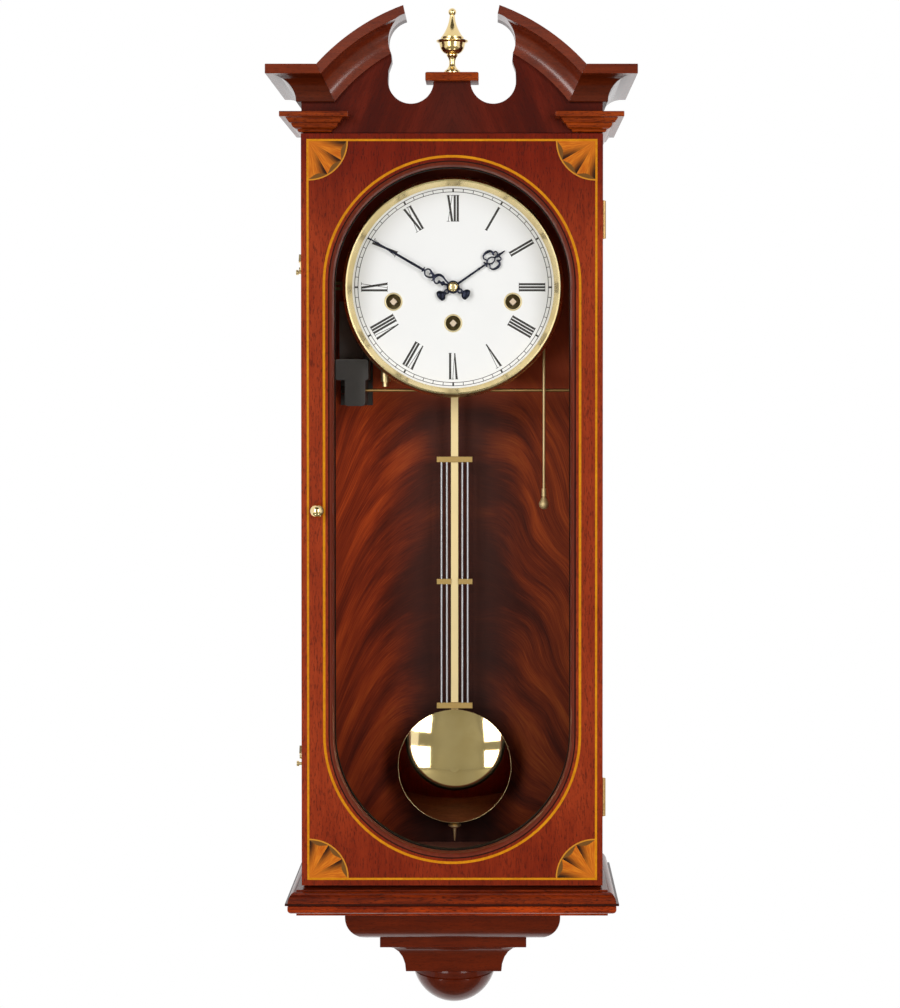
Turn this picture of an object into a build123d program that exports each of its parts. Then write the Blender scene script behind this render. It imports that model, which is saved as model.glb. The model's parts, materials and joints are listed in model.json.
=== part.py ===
from build123d import *
import os
from math import atan2, cos, hypot, pi, radians, sin

# Pendulum wall clock in a mahogany case, millimetres.
# Origin: centre of the keyhole in the hanger plate, on the wall plane.
# +X to the viewer's right, +Y into the wall, +Z up, so the front faces -Y.

# Case
CASE_HALF = 119.0
SIDE_THICK = 10.0
CASE_FRONT = -112.0
BACK_THICK = 10.0
CASE_BOTTOM_Z = -576.5
FRIEZE_TOP_Z = 71.6
BACK_TOP_Z = 44.0
INNER_HALF = CASE_HALF - SIDE_THICK
BOARD_THICK = 10.0
CASE_TOP_Z = 18.0

# Hanger plate let into the back panel
HANGER_SIZE = (34.0, 52.0)
HANGER_THICK = 2.2
HANGER_BORE_R = 5.0
HANGER_SLOT_R = 2.4
HANGER_SLOT_RISE = 13.0
HANGER_POCKET_DEEP = 7.5
HANGER_POCKET_WIDE = 14.0
HANGER_SCREW_Z = (-16.0, 26.0)
WOOD_SCREW_R = 1.0
WOOD_SCREW_HEAD_R = 1.5

# Door
DOOR_FRONT = -131.0
DOOR_BACK = -113.0
DOOR_TOP_Z = 20.0
DOOR_BOTTOM_Z = -574.0
ARCH_TOP_Z = -99.0
ARCH_LOW_Z = -455.0
FRAME_OPEN_R = 97.6
SIGHT_R = 93.5
RETAINER_R = 93.0
GLASS_FRONT = -122.0
GLASS_BACK = -119.0
RETAINER_BACK = -114.0
BEAD_PROUD = 0.8
INLAY_DEEP = 0.6
STRING_WIDE = 1.7
STRING_INSET = 4.4
OVAL_STRING_R = (100.0, 102.0)
FAN_R = 31.0
KNOB_X = -106.0
KNOB_Z = (DOOR_TOP_Z + DOOR_BOTTOM_Z) / 2
KNOB_R = 5.4
KNOB_SHANK_R = 1.5
KNOB_SHANK_LONG = 6.0

# Hinges on the right, hook latches on the left
HINGE_X = 120.3
HINGE_Y = (CASE_FRONT + DOOR_BACK) / 2
HINGE_Z = (-46.5, -507.5)
HINGE_TALL = 30.0
KNUCKLE_R = 2.0
HINGE_PIN_R = 0.9
LEAF_THICK = 0.45
LEAF_INNER_X = 108.5
LEAF_OUTER_X = HINGE_X - KNUCKLE_R - 0.2
KNUCKLE_JOIN = 5.0
RUN_GAP = 0.05
KNUCKLE_GAP = 0.15
HOOK_Z = (-86.0, -476.0)
HOOK_PIVOT_Y = -106.0
HOOK_STUD_Y = -121.5
HOOK_STUD_DROP = 3.0
HOOK_LIFT = 30.0
HOOK_PIN_R = 1.2
HOOK_X = (-121.4, -119.8)
HOOK_HEAD_R = 2.1
HOOK_FINGER = (2.0, 3.9)
HOOK_FINGER_DROP = 4.6

# Pediment
PEDIMENT_FRONT = -126.0
PEDIMENT_BOTTOM_Z = 21.0
ARCH_X = 21.6
ARCH_Z = -43.5
ARCH_R = 171.0
ARCH_TIP = (-37.4, 117.1)
ARCH_TIP_LOW = (-35.6, 108.4)
MITRE_TOP = (-105.0, FRIEZE_TOP_Z)
MITRE_LOW = (-92.0, 45.0)
CORNICE_OUT = 26.0
CORNICE_TALL = 26.6
CORNICE_FILLET = 7.6
COVE_OUT = 22.5
COVE_IN = 4.0
COVE_END = 25.8
CUT_LOW = (-32.5, 62.0, 18.0)
CUT_HIGH = (-31.0, 92.0, 19.0)
CUT_CUSP = (-47.5, 77.5)
NECK_TOP_Z = 61.4
CAPITAL_TOP_Z = 36.2
CAPITAL_CORE = 21.8
PLINTH_WIDE = 42.0
PLINTH_TOP_Z = 68.3
PLINTH_OUT = 6.0
FINIAL_TOP_Z = 120.4
FAR = 400.0

# Base and drop
BASE_BOARD_Z = (-588.2, -586.2)
BASE_BOTTOM_Z = -597.0
BASE_OUT = 10.4
BASE_NECK_OUT = 4.6
BASE_FILLET_OUT = 4.0
BASE_FILLET_TALL = 1.2
BASE_FOOT_TALL = 2.4
BASE_ROUND = (4.2, 3.6)
BASE_BOARD_OUT = 12.6
BASE_BOARD_SET_BACK = 1.2
DROP_BLOCK_Z = -624.4
DROP_BLOCK_HALF = 86.0
DROP_BLOCK_FRONT = -116.0
BULLNOSE_R = 21.0
DROP_FILLET_Z = -633.2
DROP_FILLET_HALF = 59.2
DROP_FILLET_FRONT = -95.0
DROP_COVE_Z = -658.4
DROP_COVE_HALF = (58.2, 39.1)
BUN_R = 33.6
BUN_Y = -42.0
BUN_COLLAR_Z = -664.1
BUN_BOTTOM_Z = -691.2

# Dial and movement, all about the dial centre
DIAL_Z = -99.0
DIAL_FRONT = -85.0
DIAL_BACK = -83.5
DIAL_R = 86.0
BEZEL_IN_R = 81.8
BEZEL_LIP_R = 85.4
BEZEL_CREST_R = 86.6
BEZEL_OUT_R = 89.4
BEZEL_FRONT = -93.0
WINDING = {"strike": (-48.4, -11.7), "going": (0.0, -29.1), "chime": (48.4, -11.7)}
BUSH_R = 7.4
BUSH_HOLE_R = 6.1
BUSH_SLEEVE = 0.5
PLATE_HALF = 74.0
PLATE_TALL = 58.0
PLATE_CHAMFER = 24.0
FRONT_PLATE = (-75.0, -73.0)
LUG_X = -97.4
LUG_Z = (-101.0, -93.7)
LUG_SLOT_X = -94.2
LUG_STUD_X = -89.6
LUG_STUD_R = 2.2
LUG_STUD_LONG = 3.0
BACK_PLATE = (-43.0, -41.0)
PILLARS = ((62.0, 34.0), (44.0, -44.0))
PILLAR_R = 3.0
POSTS = ((62.0, 16.0), (34.0, -50.0))
POST_R = 5.0
FOOT_X = 50.0
FOOT_Z = 42.0
PIVOT_R = 0.9
ARBOR_R = 1.4
WINDING_R = 2.5
WINDING_SQUARE = 4.2
CENTRE_ARBOR_R = 1.2

# Going train and motion work: tooth counts and modules
BARREL_TEETH = 72
CENTRE_PINION = 12
CENTRE_TEETH = 90
THIRD_PINION = 10
THIRD_TEETH = 100
ESCAPE_PINION = 10
ESCAPE_TEETH = 30
TRAIN_MODULE = 0.4
ESCAPE_MODULE = 0.35
CANNON_TEETH = 12
MINUTE_TEETH = 36
MINUTE_PINION = 10
HOUR_TEETH = 40
MOTION_REACH = 12.0
PENDULUM_RISE = 48.0
ESCAPE_R = 10.0
DRUM_R = 23.5
SIDE_BARREL_SHARE = 0.93
RATCHET_TEETH = 24
RATCHET_MODULE = 0.7

# Front and back of each wheel and pinion, in Y
BARREL_WHEEL_Y = (-71.2, -69.2)
DRUM_Y = (-69.2, -55.0)
RATCHET_Y = (-53.5, -52.0)
CENTRE_PINION_Y = (-71.8, -67.5)
CENTRE_WHEEL_Y = (-51.6, -50.4)
THIRD_PINION_Y = (-52.6, -49.4)
THIRD_WHEEL_Y = (-60.2, -59.0)
ESCAPE_PINION_Y = (-61.5, -57.7)
ESCAPE_WHEEL_Y = (-47.6, -46.6)
ANCHOR_Y = (-48.0, -46.2)
CRUTCH_Y = (-39.2, -38.0)
ARBOR_Y = (-72.5, -43.5)
CANNON_WHEEL_Y = (-77.6, -75.6)
MINUTE_WHEEL_Y = (-77.2, -76.0)
MINUTE_PINION_Y = (-81.2, -77.2)
HOUR_WHEEL_Y = (-80.4, -79.2)
CENTRE_TIP_Y = -93.2
CRUTCH_DROP = 34.0
FORK_TALL = 2.4
FORK_GAP = 0.4
FORK_THICK = 1.2

# Hands, standing at ten to two
MINUTE_ANGLE = 300.0
HOUR_ANGLE = 55.0
MINUTE_LONG = 79.5
HOUR_LONG = 51.5
HAND_THICK = 0.7
MINUTE_HAND_Y = -90.4
HOUR_HAND_Y = -87.8
CANNON_PIPE_R = 2.0
HOUR_PIPE_R = 2.9

# Pendulum
PENDULUM_Y = -30.0
SPRING_REACH = 9.0
SPRING_HALF_THICK = 0.15
STRIP_WIDE = 6.0
STRIP_THICK = 1.5
STRIP_BOTTOM_Z = -545.2
BOB_R = 47.5
BOB_Z = -497.5
BOB_RIM = 4.0
BOB_DOME = 8.0
BAR_WIDE = 30.0
BAR_Z = ((-242.9, -238.2), (-345.2, -340.6), (-449.3, -444.4))
BAR_THICK = 2.0
GRID_ROD_X = (6.45, 11.0)
GRID_ROD_R = 1.0
NUT_R = 5.4
NUT_Z = (-550.3, -545.5)
NUT_RIM = 1.0
SCREW_R = 1.5
SCREW_TIP_Z = -561.0
SCREW_TIP_R = 0.6

# Chime
ROD_Z = -182.6
ROD_R = 1.3
ROD_Y = (-70.0, -62.0, -54.0, -46.0)
ROD_END_X = (58.7, 95.0, 66.6, 92.0)
BLOCK_X = (-88.6, -72.0)
BLOCK_Y = (-76.0, -40.0)
BLOCK_Z = (-195.4, -164.5)
BLOCK_HEAD_X = (-96.4, -69.5)
BLOCK_HEAD_Z = (-174.3, -157.2)
BLOCK_NECK_X = (-95.0, -76.0)
BLOCK_SCREW_R = 3.3
BLOCK_SCREW_X = -92.3
BLOCK_TOP_Z = -109.0
BLOCK_FOOT_THICK = 5.0
HAMMER_PIVOT = (-28.0, -152.0)
HAMMER_X = -56.0
HAMMER_Z = (-175.6, -163.6)
HAMMER_TIP_Z = -179.6
HAMMER_R = 3.4
HAMMER_TIP_R = 2.2
HAMMER_ARM_HALF = 1.2
PULL_X = 74.0
PULL_Y = -69.0
PULL_R = 1.15
PULL_Z = (-280.0, -112.0)
GUIDE_Z = (-139.0, -129.0)
PULL_TRAVEL = 5.0
PULL_DROP_R = 3.85
PULL_DROP_TALL = 10.5
PULL_FERRULE_R = 1.9
PULL_FERRULE_TALL = 6.5
PULL_COLLAR_R = 2.4


def box(x0, x1, y0, y1, z0, z1):
    return Pos((x0 + x1) / 2, (y0 + y1) / 2, (z0 + z1) / 2) * Box(x1 - x0, y1 - y0, z1 - z0)


def rod_x(y, z, x0, x1, r):
    return Pos((x0 + x1) / 2, y, z) * Rot(0, 90, 0) * Cylinder(r, x1 - x0)


def rod_y(x, z, y0, y1, r):
    return Pos(x, (y0 + y1) / 2, z) * Rot(90, 0, 0) * Cylinder(r, y1 - y0)


def rod_z(x, y, z0, z1, r):
    return Pos(x, y, (z0 + z1) / 2) * Cylinder(r, z1 - z0)


def slab(outline, y0, y1):
    """Extrude an outline drawn in X and Z from y1 forward to y0."""
    return extrude(Plane.XZ.offset(-y1) * outline, amount=y1 - y0)


def mirrored(shape):
    return mirror(shape, about=Plane.YZ)


def polygon(*points):
    return make_face(Polyline(*points, close=True))


def disc(x, z, r):
    return Pos(x, z) * Circle(r)


def turned(outline):
    """Turn an outline drawn as radius and height about the Z axis."""
    return revolve(Plane.XZ * outline, Axis.Z)


def turned_forward(outline):
    """Turn an outline drawn as radius and forward reach, so the axis points to the viewer."""
    return Rot(90, 0, 0) * turned(outline)


def dome(r, z, pole_z):
    """Round edge from a point at radius r to a pole on the axis, centred on the axis."""
    centre = (r * r + z * z - pole_z * pole_z) / (2 * (z - pole_z))
    ball = abs(pole_z - centre)
    start = atan2(z - centre, r)
    end = pi / 2 if pole_z > centre else -pi / 2
    middle = (start + end) / 2
    return ThreePointArc((r, z), (ball * cos(middle), centre + ball * sin(middle)), (0, pole_z))


def mitred(front_outline, side_outline):
    """Common part of an X and Z outline and a Y and Z outline: a solid with mitred corners."""
    across = extrude(Plane.XZ * front_outline, amount=FAR, both=True)
    along = extrude(Plane.YZ * side_outline, amount=FAR, both=True)
    return across & along


def two_sided(outline_points):
    """Points for a half width that falls with Z, closed over to the other side."""
    left = [(-x, z) for x, z in reversed(outline_points)]
    return polygon(*outline_points, *left)


def stadium(r):
    """Outline with straight sides and half-round ends, on the door opening's centres."""
    middle = Pos(0, (ARCH_TOP_Z + ARCH_LOW_Z) / 2) * Rectangle(2 * r, ARCH_TOP_Z - ARCH_LOW_Z)
    return middle + disc(0, ARCH_TOP_Z, r) + disc(0, ARCH_LOW_Z, r)


def gear(teeth, module, phase, addendum=0.7, dedendum=1.2):
    """Wheel outline about its own centre, with slim teeth; phase is one tooth's angle in radians."""
    pitch_r = teeth * module / 2
    tip_r = pitch_r + addendum * module
    root_r = pitch_r - dedendum * module
    step = 2 * pi / teeth
    points = []
    for tooth in range(teeth):
        middle = phase + tooth * step
        for turn, r in ((-0.27, root_r), (-0.09, tip_r), (0.09, tip_r), (0.27, root_r)):
            angle = middle + turn * step
            points.append((r * cos(angle), r * sin(angle)))
    return polygon(*points)


def meshed_phase(teeth, centre, phase, other_teeth, other_centre):
    """Phase of the other wheel that puts a gap where this wheel has a tooth."""
    line = atan2(other_centre[1] - centre[1], other_centre[0] - centre[0])
    here = (line - phase) * teeth / (2 * pi)
    return line + pi - (0.5 - here) * 2 * pi / other_teeth


# Places of the arbors in X and Z
DIAL = (0.0, DIAL_Z)
ARBOR = {name: (x, DIAL_Z + z) for name, (x, z) in WINDING.items()}
BARREL_MODULE = 2 * hypot(*WINDING["going"]) / (BARREL_TEETH + CENTRE_PINION)
THIRD_REACH = (CENTRE_TEETH + THIRD_PINION) * TRAIN_MODULE / 2
ESCAPE_REACH = (THIRD_TEETH + ESCAPE_PINION) * ESCAPE_MODULE / 2
THIRD = (-THIRD_REACH / 2, DIAL_Z + THIRD_REACH * cos(radians(30)))
ESCAPE = (0.0, THIRD[1] + (ESCAPE_REACH ** 2 - THIRD[0] ** 2) ** 0.5)
PENDULUM_Z = DIAL_Z + PENDULUM_RISE
PALLET = (0.0, PENDULUM_Z)
MINUTE_STUD = (MOTION_REACH, DIAL_Z)
CANNON_MODULE = 2 * MOTION_REACH / (CANNON_TEETH + MINUTE_TEETH)
HOUR_MODULE = 2 * MOTION_REACH / (MINUTE_PINION + HOUR_TEETH)


# Case carcass

def back_panel():
    panel = box(-INNER_HALF, INNER_HALF, -BACK_THICK, 0, CASE_BOTTOM_Z, BACK_TOP_Z)
    plate_bed = slab(hanger_outline(), -HANGER_THICK, 0)
    pocket_tall = 2 * HANGER_SLOT_RISE + HANGER_POCKET_WIDE
    pocket = SlotOverall(pocket_tall, HANGER_POCKET_WIDE, rotation=90)
    panel -= plate_bed + slab(pocket, -HANGER_POCKET_DEEP, 0)
    for z in HANGER_SCREW_Z:
        panel -= rod_y(0, z, 1 - BACK_THICK, 0, WOOD_SCREW_R)
    return panel


def case_side():
    return box(-CASE_HALF, -INNER_HALF, CASE_FRONT, 0, CASE_BOTTOM_Z, FRIEZE_TOP_Z)


def hinge_clearance():
    cuts = Part()
    for z in HINGE_Z:
        reach = HINGE_TALL / 2 + 0.5
        cuts += rod_z(HINGE_X, HINGE_Y, z - reach, z + reach, KNUCKLE_R + 0.3)
    return cuts


def case_board(top_z):
    return box(-INNER_HALF, INNER_HALF, CASE_FRONT, -BACK_THICK, top_z - BOARD_THICK, top_z)


def hanger_outline():
    middle_z = (HANGER_SCREW_Z[0] + HANGER_SCREW_Z[1]) / 2
    return Pos(0, middle_z) * RectangleRounded(HANGER_SIZE[0], HANGER_SIZE[1], 4)


def hanger_plate():
    slot = Pos(0, HANGER_SLOT_RISE / 2) * Rectangle(2 * HANGER_SLOT_R, HANGER_SLOT_RISE)
    outline = hanger_outline() - Circle(HANGER_BORE_R) - slot - disc(0, HANGER_SLOT_RISE, HANGER_SLOT_R)
    for z in HANGER_SCREW_Z:
        outline -= disc(0, z, WOOD_SCREW_HEAD_R)
    return slab(outline, -HANGER_THICK, 0)


# Pediment

def pediment_board():
    arch = Pos(ARCH_X, ARCH_Z) * Circle(ARCH_R)
    above_z = ARCH_TIP[1] + 5
    under = polygon(
        (-CASE_HALF, PEDIMENT_BOTTOM_Z), (ARCH_TIP_LOW[0], PEDIMENT_BOTTOM_Z), ARCH_TIP_LOW, ARCH_TIP,
        (ARCH_TIP[0], above_z), (-CASE_HALF, above_z))
    shoulder = upright(-CASE_HALF, MITRE_TOP[0], FRIEZE_TOP_Z)
    neck = upright(-CASE_HALF / 2, 0, NECK_TOP_Z)
    half = (arch & under) + shoulder + neck - swan_cut()
    return slab(half + mirror(half, about=Plane.YZ), PEDIMENT_FRONT, CASE_FRONT)


def upright(x0, x1, top_z):
    """Rectangle that stands on the pediment's lower edge."""
    return polygon((x0, PEDIMENT_BOTTOM_Z), (x1, PEDIMENT_BOTTOM_Z), (x1, top_z), (x0, top_z))


def swan_cut():
    """Outline of the opening beside the finial: a lower round, a cusp and an upper round."""
    low_x, low_z, low_r = CUT_LOW
    high_x, high_z, high_r = CUT_HIGH
    cusp_x, cusp_z = CUT_CUSP
    joining = polygon(
        (low_x - low_r, low_z), (low_x - low_r + 0.3, low_z + 8), CUT_CUSP, (cusp_x - 0.5, cusp_z + 6),
        (low_x + low_r, cusp_z + 6), (low_x + low_r, low_z))
    return disc(low_x, low_z, low_r) + disc(high_x, high_z, high_r) + joining


def cornice_outline():
    """Section of the pediment moulding: outward reach, and height below its top edge as negative."""
    mid_out = COVE_OUT - (COVE_OUT - COVE_IN) * cos(radians(45))
    mid_down = COVE_END - (COVE_END - CORNICE_FILLET) * sin(radians(45))
    edges = Polyline((COVE_IN, -COVE_END), (COVE_IN, -CORNICE_TALL), (0, -CORNICE_TALL), (0, 0),
                     (CORNICE_OUT, 0), (CORNICE_OUT, -CORNICE_FILLET), (COVE_OUT, -CORNICE_FILLET))
    cove = ThreePointArc((COVE_OUT, -CORNICE_FILLET), (mid_out, -mid_down), (COVE_IN, -COVE_END))
    return make_face(edges + cove)


def cornice():
    """Left level moulding: a run along the front as far as the arch, and a return to the wall."""
    section = cornice_outline()
    front_plane = Plane((0, PEDIMENT_FRONT, FRIEZE_TOP_Z), x_dir=(0, -1, 0), z_dir=(-1, 0, 0))
    side_plane = Plane((-CASE_HALF, -FAR, FRIEZE_TOP_Z), x_dir=(-1, 0, 0), z_dir=(0, 1, 0))
    front = extrude(front_plane * section, FAR)
    side = extrude(side_plane * section, FAR)
    corner = (-CASE_HALF, PEDIMENT_FRONT)
    outer = (-CASE_HALF - FAR, PEDIMENT_FRONT - FAR)
    front_plan = polygon(corner, outer, (0, PEDIMENT_FRONT - FAR), (0, PEDIMENT_FRONT))
    side_plan = polygon((-CASE_HALF, 0), (-CASE_HALF - FAR, 0), outer, corner)
    front &= extrude(front_plan, FAR)
    side &= extrude(side_plan, FAR)
    front &= slab(polygon((-FAR, FAR), (-FAR, 0), mitre_at(0), mitre_at(FAR)), -FAR, 0)
    return front + side


def mitre_at(z):
    """Point at height z on the mitre between the level moulding and the arch."""
    slope = (MITRE_TOP[0] - MITRE_LOW[0]) / (MITRE_TOP[1] - MITRE_LOW[1])
    return (MITRE_LOW[0] + slope * (z - MITRE_LOW[1]), z)


def arch_moulding():
    """Left arched moulding, from the mitre to the tip beside the finial."""
    plane = Plane((ARCH_X, PEDIMENT_FRONT, ARCH_Z + ARCH_R), x_dir=(0, -1, 0), z_dir=(-1, 0, 0))
    axis = Axis((ARCH_X, 0, ARCH_Z), (0, -1, 0))
    ring = revolve(plane * cornice_outline(), axis, 90)
    tip_slope = (ARCH_TIP[0] - ARCH_TIP_LOW[0]) / (ARCH_TIP[1] - ARCH_TIP_LOW[1])
    above_z = ARCH_TIP[1] + 20
    below_z = NECK_TOP_Z
    tip_x = ARCH_TIP[0] + tip_slope * (above_z - ARCH_TIP[1])
    tip_foot_x = ARCH_TIP_LOW[0] + tip_slope * (below_z - ARCH_TIP_LOW[1])
    foot_z = PEDIMENT_BOTTOM_Z
    keep = polygon(mitre_at(foot_z), mitre_at(above_z), (tip_x, above_z), (tip_foot_x, below_z),
                   (tip_foot_x, foot_z))
    high_x, high_z, high_r = CUT_HIGH
    return ring & slab(keep - disc(high_x, high_z, high_r), -FAR, 0)


def capital_steps():
    """Outward reach at each height of the small mouldings that stand for capitals."""
    drops = ((16.1, 0), (16.1, 4.2), (11.6, 4.2), (11.0, 5.2), (9.8, 6.8), (9.2, 8.0), (7.4, 8.4),
             (7.1, 10.0), (6.2, 11.4), (4.6, 12.4), (2.8, 12.8), (2.8, 13.9), (1.9, 15.0), (0, 15.0))
    return [(out, CAPITAL_TOP_Z - down) for out, down in drops]


def capital():
    steps = capital_steps()
    inner_x = -CASE_HALF + CAPITAL_CORE
    left = [(-CASE_HALF - out, z) for out, z in steps[:-1]]
    right = [(inner_x + out, z) for out, z in reversed(steps[:-1])]
    across = extrude(Plane.XZ * polygon(*left, *right), FAR)
    ahead = [(PEDIMENT_FRONT - out, z) for out, z in steps[:-1]]
    depth = polygon(*ahead, (PEDIMENT_FRONT, steps[-1][1]), (PEDIMENT_FRONT, CAPITAL_TOP_Z))
    front = across & extrude(Plane.YZ * depth, FAR, both=True)
    side_outline = polygon(*left, (-CASE_HALF, steps[-1][1]), (-CASE_HALF, CAPITAL_TOP_Z))
    side = slab(side_outline, PEDIMENT_FRONT, 0)
    return front + side


def finial_plinth():
    cap = box(-PLINTH_WIDE / 2, PLINTH_WIDE / 2, PEDIMENT_FRONT - PLINTH_OUT, CASE_FRONT + PLINTH_OUT,
              NECK_TOP_Z, PLINTH_TOP_Z)
    return chamfer(cap.faces().sort_by(Axis.Z)[-1].edges(), 0.8)


def finial():
    """Turned brass urn with a pointed cover, on the middle of the plinth."""
    foot = PLINTH_TOP_Z
    ball_z = FINIAL_TOP_Z - 3.1
    neck_z = ball_z - 2.4
    outline = (
        Polyline((0, foot), (6.4, foot), (6.4, foot + 1.6), (5.9, foot + 2.8), (5.2, foot + 3.2))
        + ThreePointArc((5.2, foot + 3.2), (3.1, foot + 5.6), (2.4, foot + 9.2))
        + ThreePointArc((2.4, foot + 9.2), (2.9, foot + 12.0), (4.4, foot + 14.4))
        + Polyline((4.4, foot + 14.4), (4.4, foot + 15.2), (3.9, foot + 15.7))
        + ThreePointArc((3.9, foot + 15.7), (7.6, foot + 17.6), (9.6, foot + 21.2))
        + Polyline((9.6, foot + 21.2), (10.3, foot + 24.4), (12.5, foot + 25.6), (12.5, foot + 26.3),
                   (9.1, foot + 27.6), (9.1, foot + 28.8), (8.2, foot + 29.8))
        + ThreePointArc((8.2, foot + 29.8), (4.4, foot + 36.4), (1.9, neck_z))
        + dome(1.9, neck_z, FINIAL_TOP_Z)
        + Line((0, FINIAL_TOP_Z), (0, foot)))
    return Pos(0, (PEDIMENT_FRONT + CASE_FRONT) / 2, 0) * turned(make_face(outline))


# Base and drop

def base_layer(steps):
    """Slab whose sides and front follow the same outward steps, given as (out, z) from the top."""
    half = [(CASE_HALF + out, z) for out, z in steps]
    front = [(DOOR_FRONT - out, z) for out, z in steps]
    side = polygon(*front, (0, steps[-1][1]), (0, steps[0][1]))
    return mitred(two_sided(half), side)


def rounded_steps(start, end):
    """Steps of a quarter-round edge between two points given as (out, z), upright at its outer point."""
    upper_out, upper_z = start
    lower_out, lower_z = end
    steps = []
    for turn in range(0, 91, 15):
        if lower_out > upper_out:
            out = upper_out + (lower_out - upper_out) * sin(radians(turn))
            z = lower_z + (upper_z - lower_z) * cos(radians(turn))
        else:
            out = lower_out + (upper_out - lower_out) * cos(radians(turn))
            z = upper_z + (lower_z - upper_z) * sin(radians(turn))
        steps.append((out, z))
    return steps


def base_mouldings():
    neck_z = CASE_BOTTOM_Z - BASE_FILLET_TALL
    square_edge = [(BASE_FILLET_OUT, CASE_BOTTOM_Z), (BASE_FILLET_OUT, neck_z)]
    swell = rounded_steps((BASE_NECK_OUT, neck_z), (BASE_OUT, BASE_BOARD_Z[1]))
    upper = base_layer(square_edge + swell)
    top_z = BASE_BOARD_Z[0]
    foot_z = BASE_BOTTOM_Z + BASE_FOOT_TALL
    round_out, round_tall = BASE_ROUND
    under = rounded_steps((BASE_OUT, foot_z + round_tall), (BASE_OUT - round_out, foot_z))
    foot = [(BASE_FILLET_OUT, foot_z), (BASE_FILLET_OUT, BASE_BOTTOM_Z)]
    lower = base_layer([(BASE_OUT, top_z)] + under + foot)
    return [upper, lower]


def base_board():
    half = CASE_HALF + BASE_BOARD_OUT
    return box(-half, half, DOOR_FRONT - BASE_OUT + BASE_BOARD_SET_BACK, 0, *BASE_BOARD_Z)


def drop_block():
    tall = BASE_BOTTOM_Z - DROP_BLOCK_Z
    half = Pos(0, DROP_BLOCK_Z + tall / 2) * Rectangle(2 * DROP_BLOCK_HALF, tall)
    half = fillet(half.vertices().group_by(Axis.Y)[0], BULLNOSE_R)
    side = polygon((DROP_BLOCK_FRONT, BASE_BOTTOM_Z), (DROP_BLOCK_FRONT, DROP_BLOCK_Z), (0, DROP_BLOCK_Z),
                   (0, BASE_BOTTOM_Z))
    side = fillet(side.vertices().group_by(Axis.Y)[0].sort_by(Axis.X)[0], BULLNOSE_R)
    return mitred(half, side)


def drop_cove():
    """Square-edged block with a cove below it on the front and sides."""
    wide, narrow = DROP_COVE_HALF
    waist = wide - narrow
    steps = [(DROP_FILLET_HALF, DROP_BLOCK_Z), (DROP_FILLET_HALF, DROP_FILLET_Z)]
    for turn in range(0, 91, 15):
        out = narrow + waist * (1 - sin(radians(turn)))
        steps.append((out, DROP_FILLET_Z - (DROP_FILLET_Z - DROP_COVE_Z) * (1 - cos(radians(turn)))))
    front = [(DROP_FILLET_FRONT + DROP_FILLET_HALF - out, z) for out, z in steps]
    side = polygon(*front, (0, DROP_COVE_Z), (0, DROP_BLOCK_Z))
    return mitred(two_sided(steps), side)


def drop_bun():
    """Turned bun with a scribed line round its upper part."""
    below_z = BUN_COLLAR_Z - 1.2
    edges = (
        Polyline((0, DROP_COVE_Z), (BUN_R - 0.6, DROP_COVE_Z), (BUN_R, DROP_COVE_Z - 1.5),
                 (BUN_R, BUN_COLLAR_Z), (BUN_R - 0.9, BUN_COLLAR_Z - 0.5), (BUN_R - 0.2, below_z))
        + dome(BUN_R - 0.2, below_z, BUN_BOTTOM_Z)
        + Line((0, BUN_BOTTOM_Z), (0, DROP_COVE_Z)))
    return Pos(0, BUN_Y, 0) * turned(make_face(edges))


# Door

def door_frame():
    tall = DOOR_TOP_Z - DOOR_BOTTOM_Z
    outline = Pos(0, KNOB_Z) * Rectangle(2 * CASE_HALF, tall) - stadium(FRAME_OPEN_R)
    frame = slab(outline, DOOR_FRONT, DOOR_BACK)
    frame -= hinge_clearance()
    for inlay in door_stringing() + corner_fans():
        frame -= inlay
    return frame - rod_y(KNOB_X, KNOB_Z, DOOR_FRONT, DOOR_FRONT + KNOB_SHANK_LONG, KNOB_SHANK_R)


def stadium_ring(section):
    """Carry a section, drawn as radius and Y, once round the stadium-shaped opening."""
    top = revolve(Plane.XY.offset(ARCH_TOP_Z) * section, Axis((0, 0, ARCH_TOP_Z), (0, -1, 0)), 180)
    low = revolve(Plane.XY.offset(ARCH_LOW_Z) * section, Axis((0, 0, ARCH_LOW_Z), (0, 1, 0)), 180)
    side = extrude(Plane.XY.offset(ARCH_LOW_Z) * section, ARCH_TOP_Z - ARCH_LOW_Z)
    return top + low + side + mirrored(side)


def door_bead():
    front = DOOR_FRONT - BEAD_PROUD
    crest = (FRAME_OPEN_R - 1.2, front)
    foot = (SIGHT_R + 0.4, GLASS_FRONT - 3)
    edges = (
        Polyline(foot, (SIGHT_R, GLASS_FRONT - 2), (SIGHT_R, GLASS_FRONT), (FRAME_OPEN_R, GLASS_FRONT),
                 (FRAME_OPEN_R, front), crest)
        + ThreePointArc(crest, (SIGHT_R + 1.1, front + 2.2), foot))
    return stadium_ring(make_face(edges))


def door_stringing():
    tall = DOOR_TOP_Z - DOOR_BOTTOM_Z - 2 * STRING_INSET
    wide = 2 * (CASE_HALF - STRING_INSET)
    border = Rectangle(wide, tall) - Rectangle(wide - 2 * STRING_WIDE, tall - 2 * STRING_WIDE)
    oval = stadium(OVAL_STRING_R[1]) - stadium(OVAL_STRING_R[0])
    return [slab(Pos(0, KNOB_Z) * border, DOOR_FRONT, DOOR_FRONT + INLAY_DEEP),
            slab(oval, DOOR_FRONT, DOOR_FRONT + INLAY_DEEP)]


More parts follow.
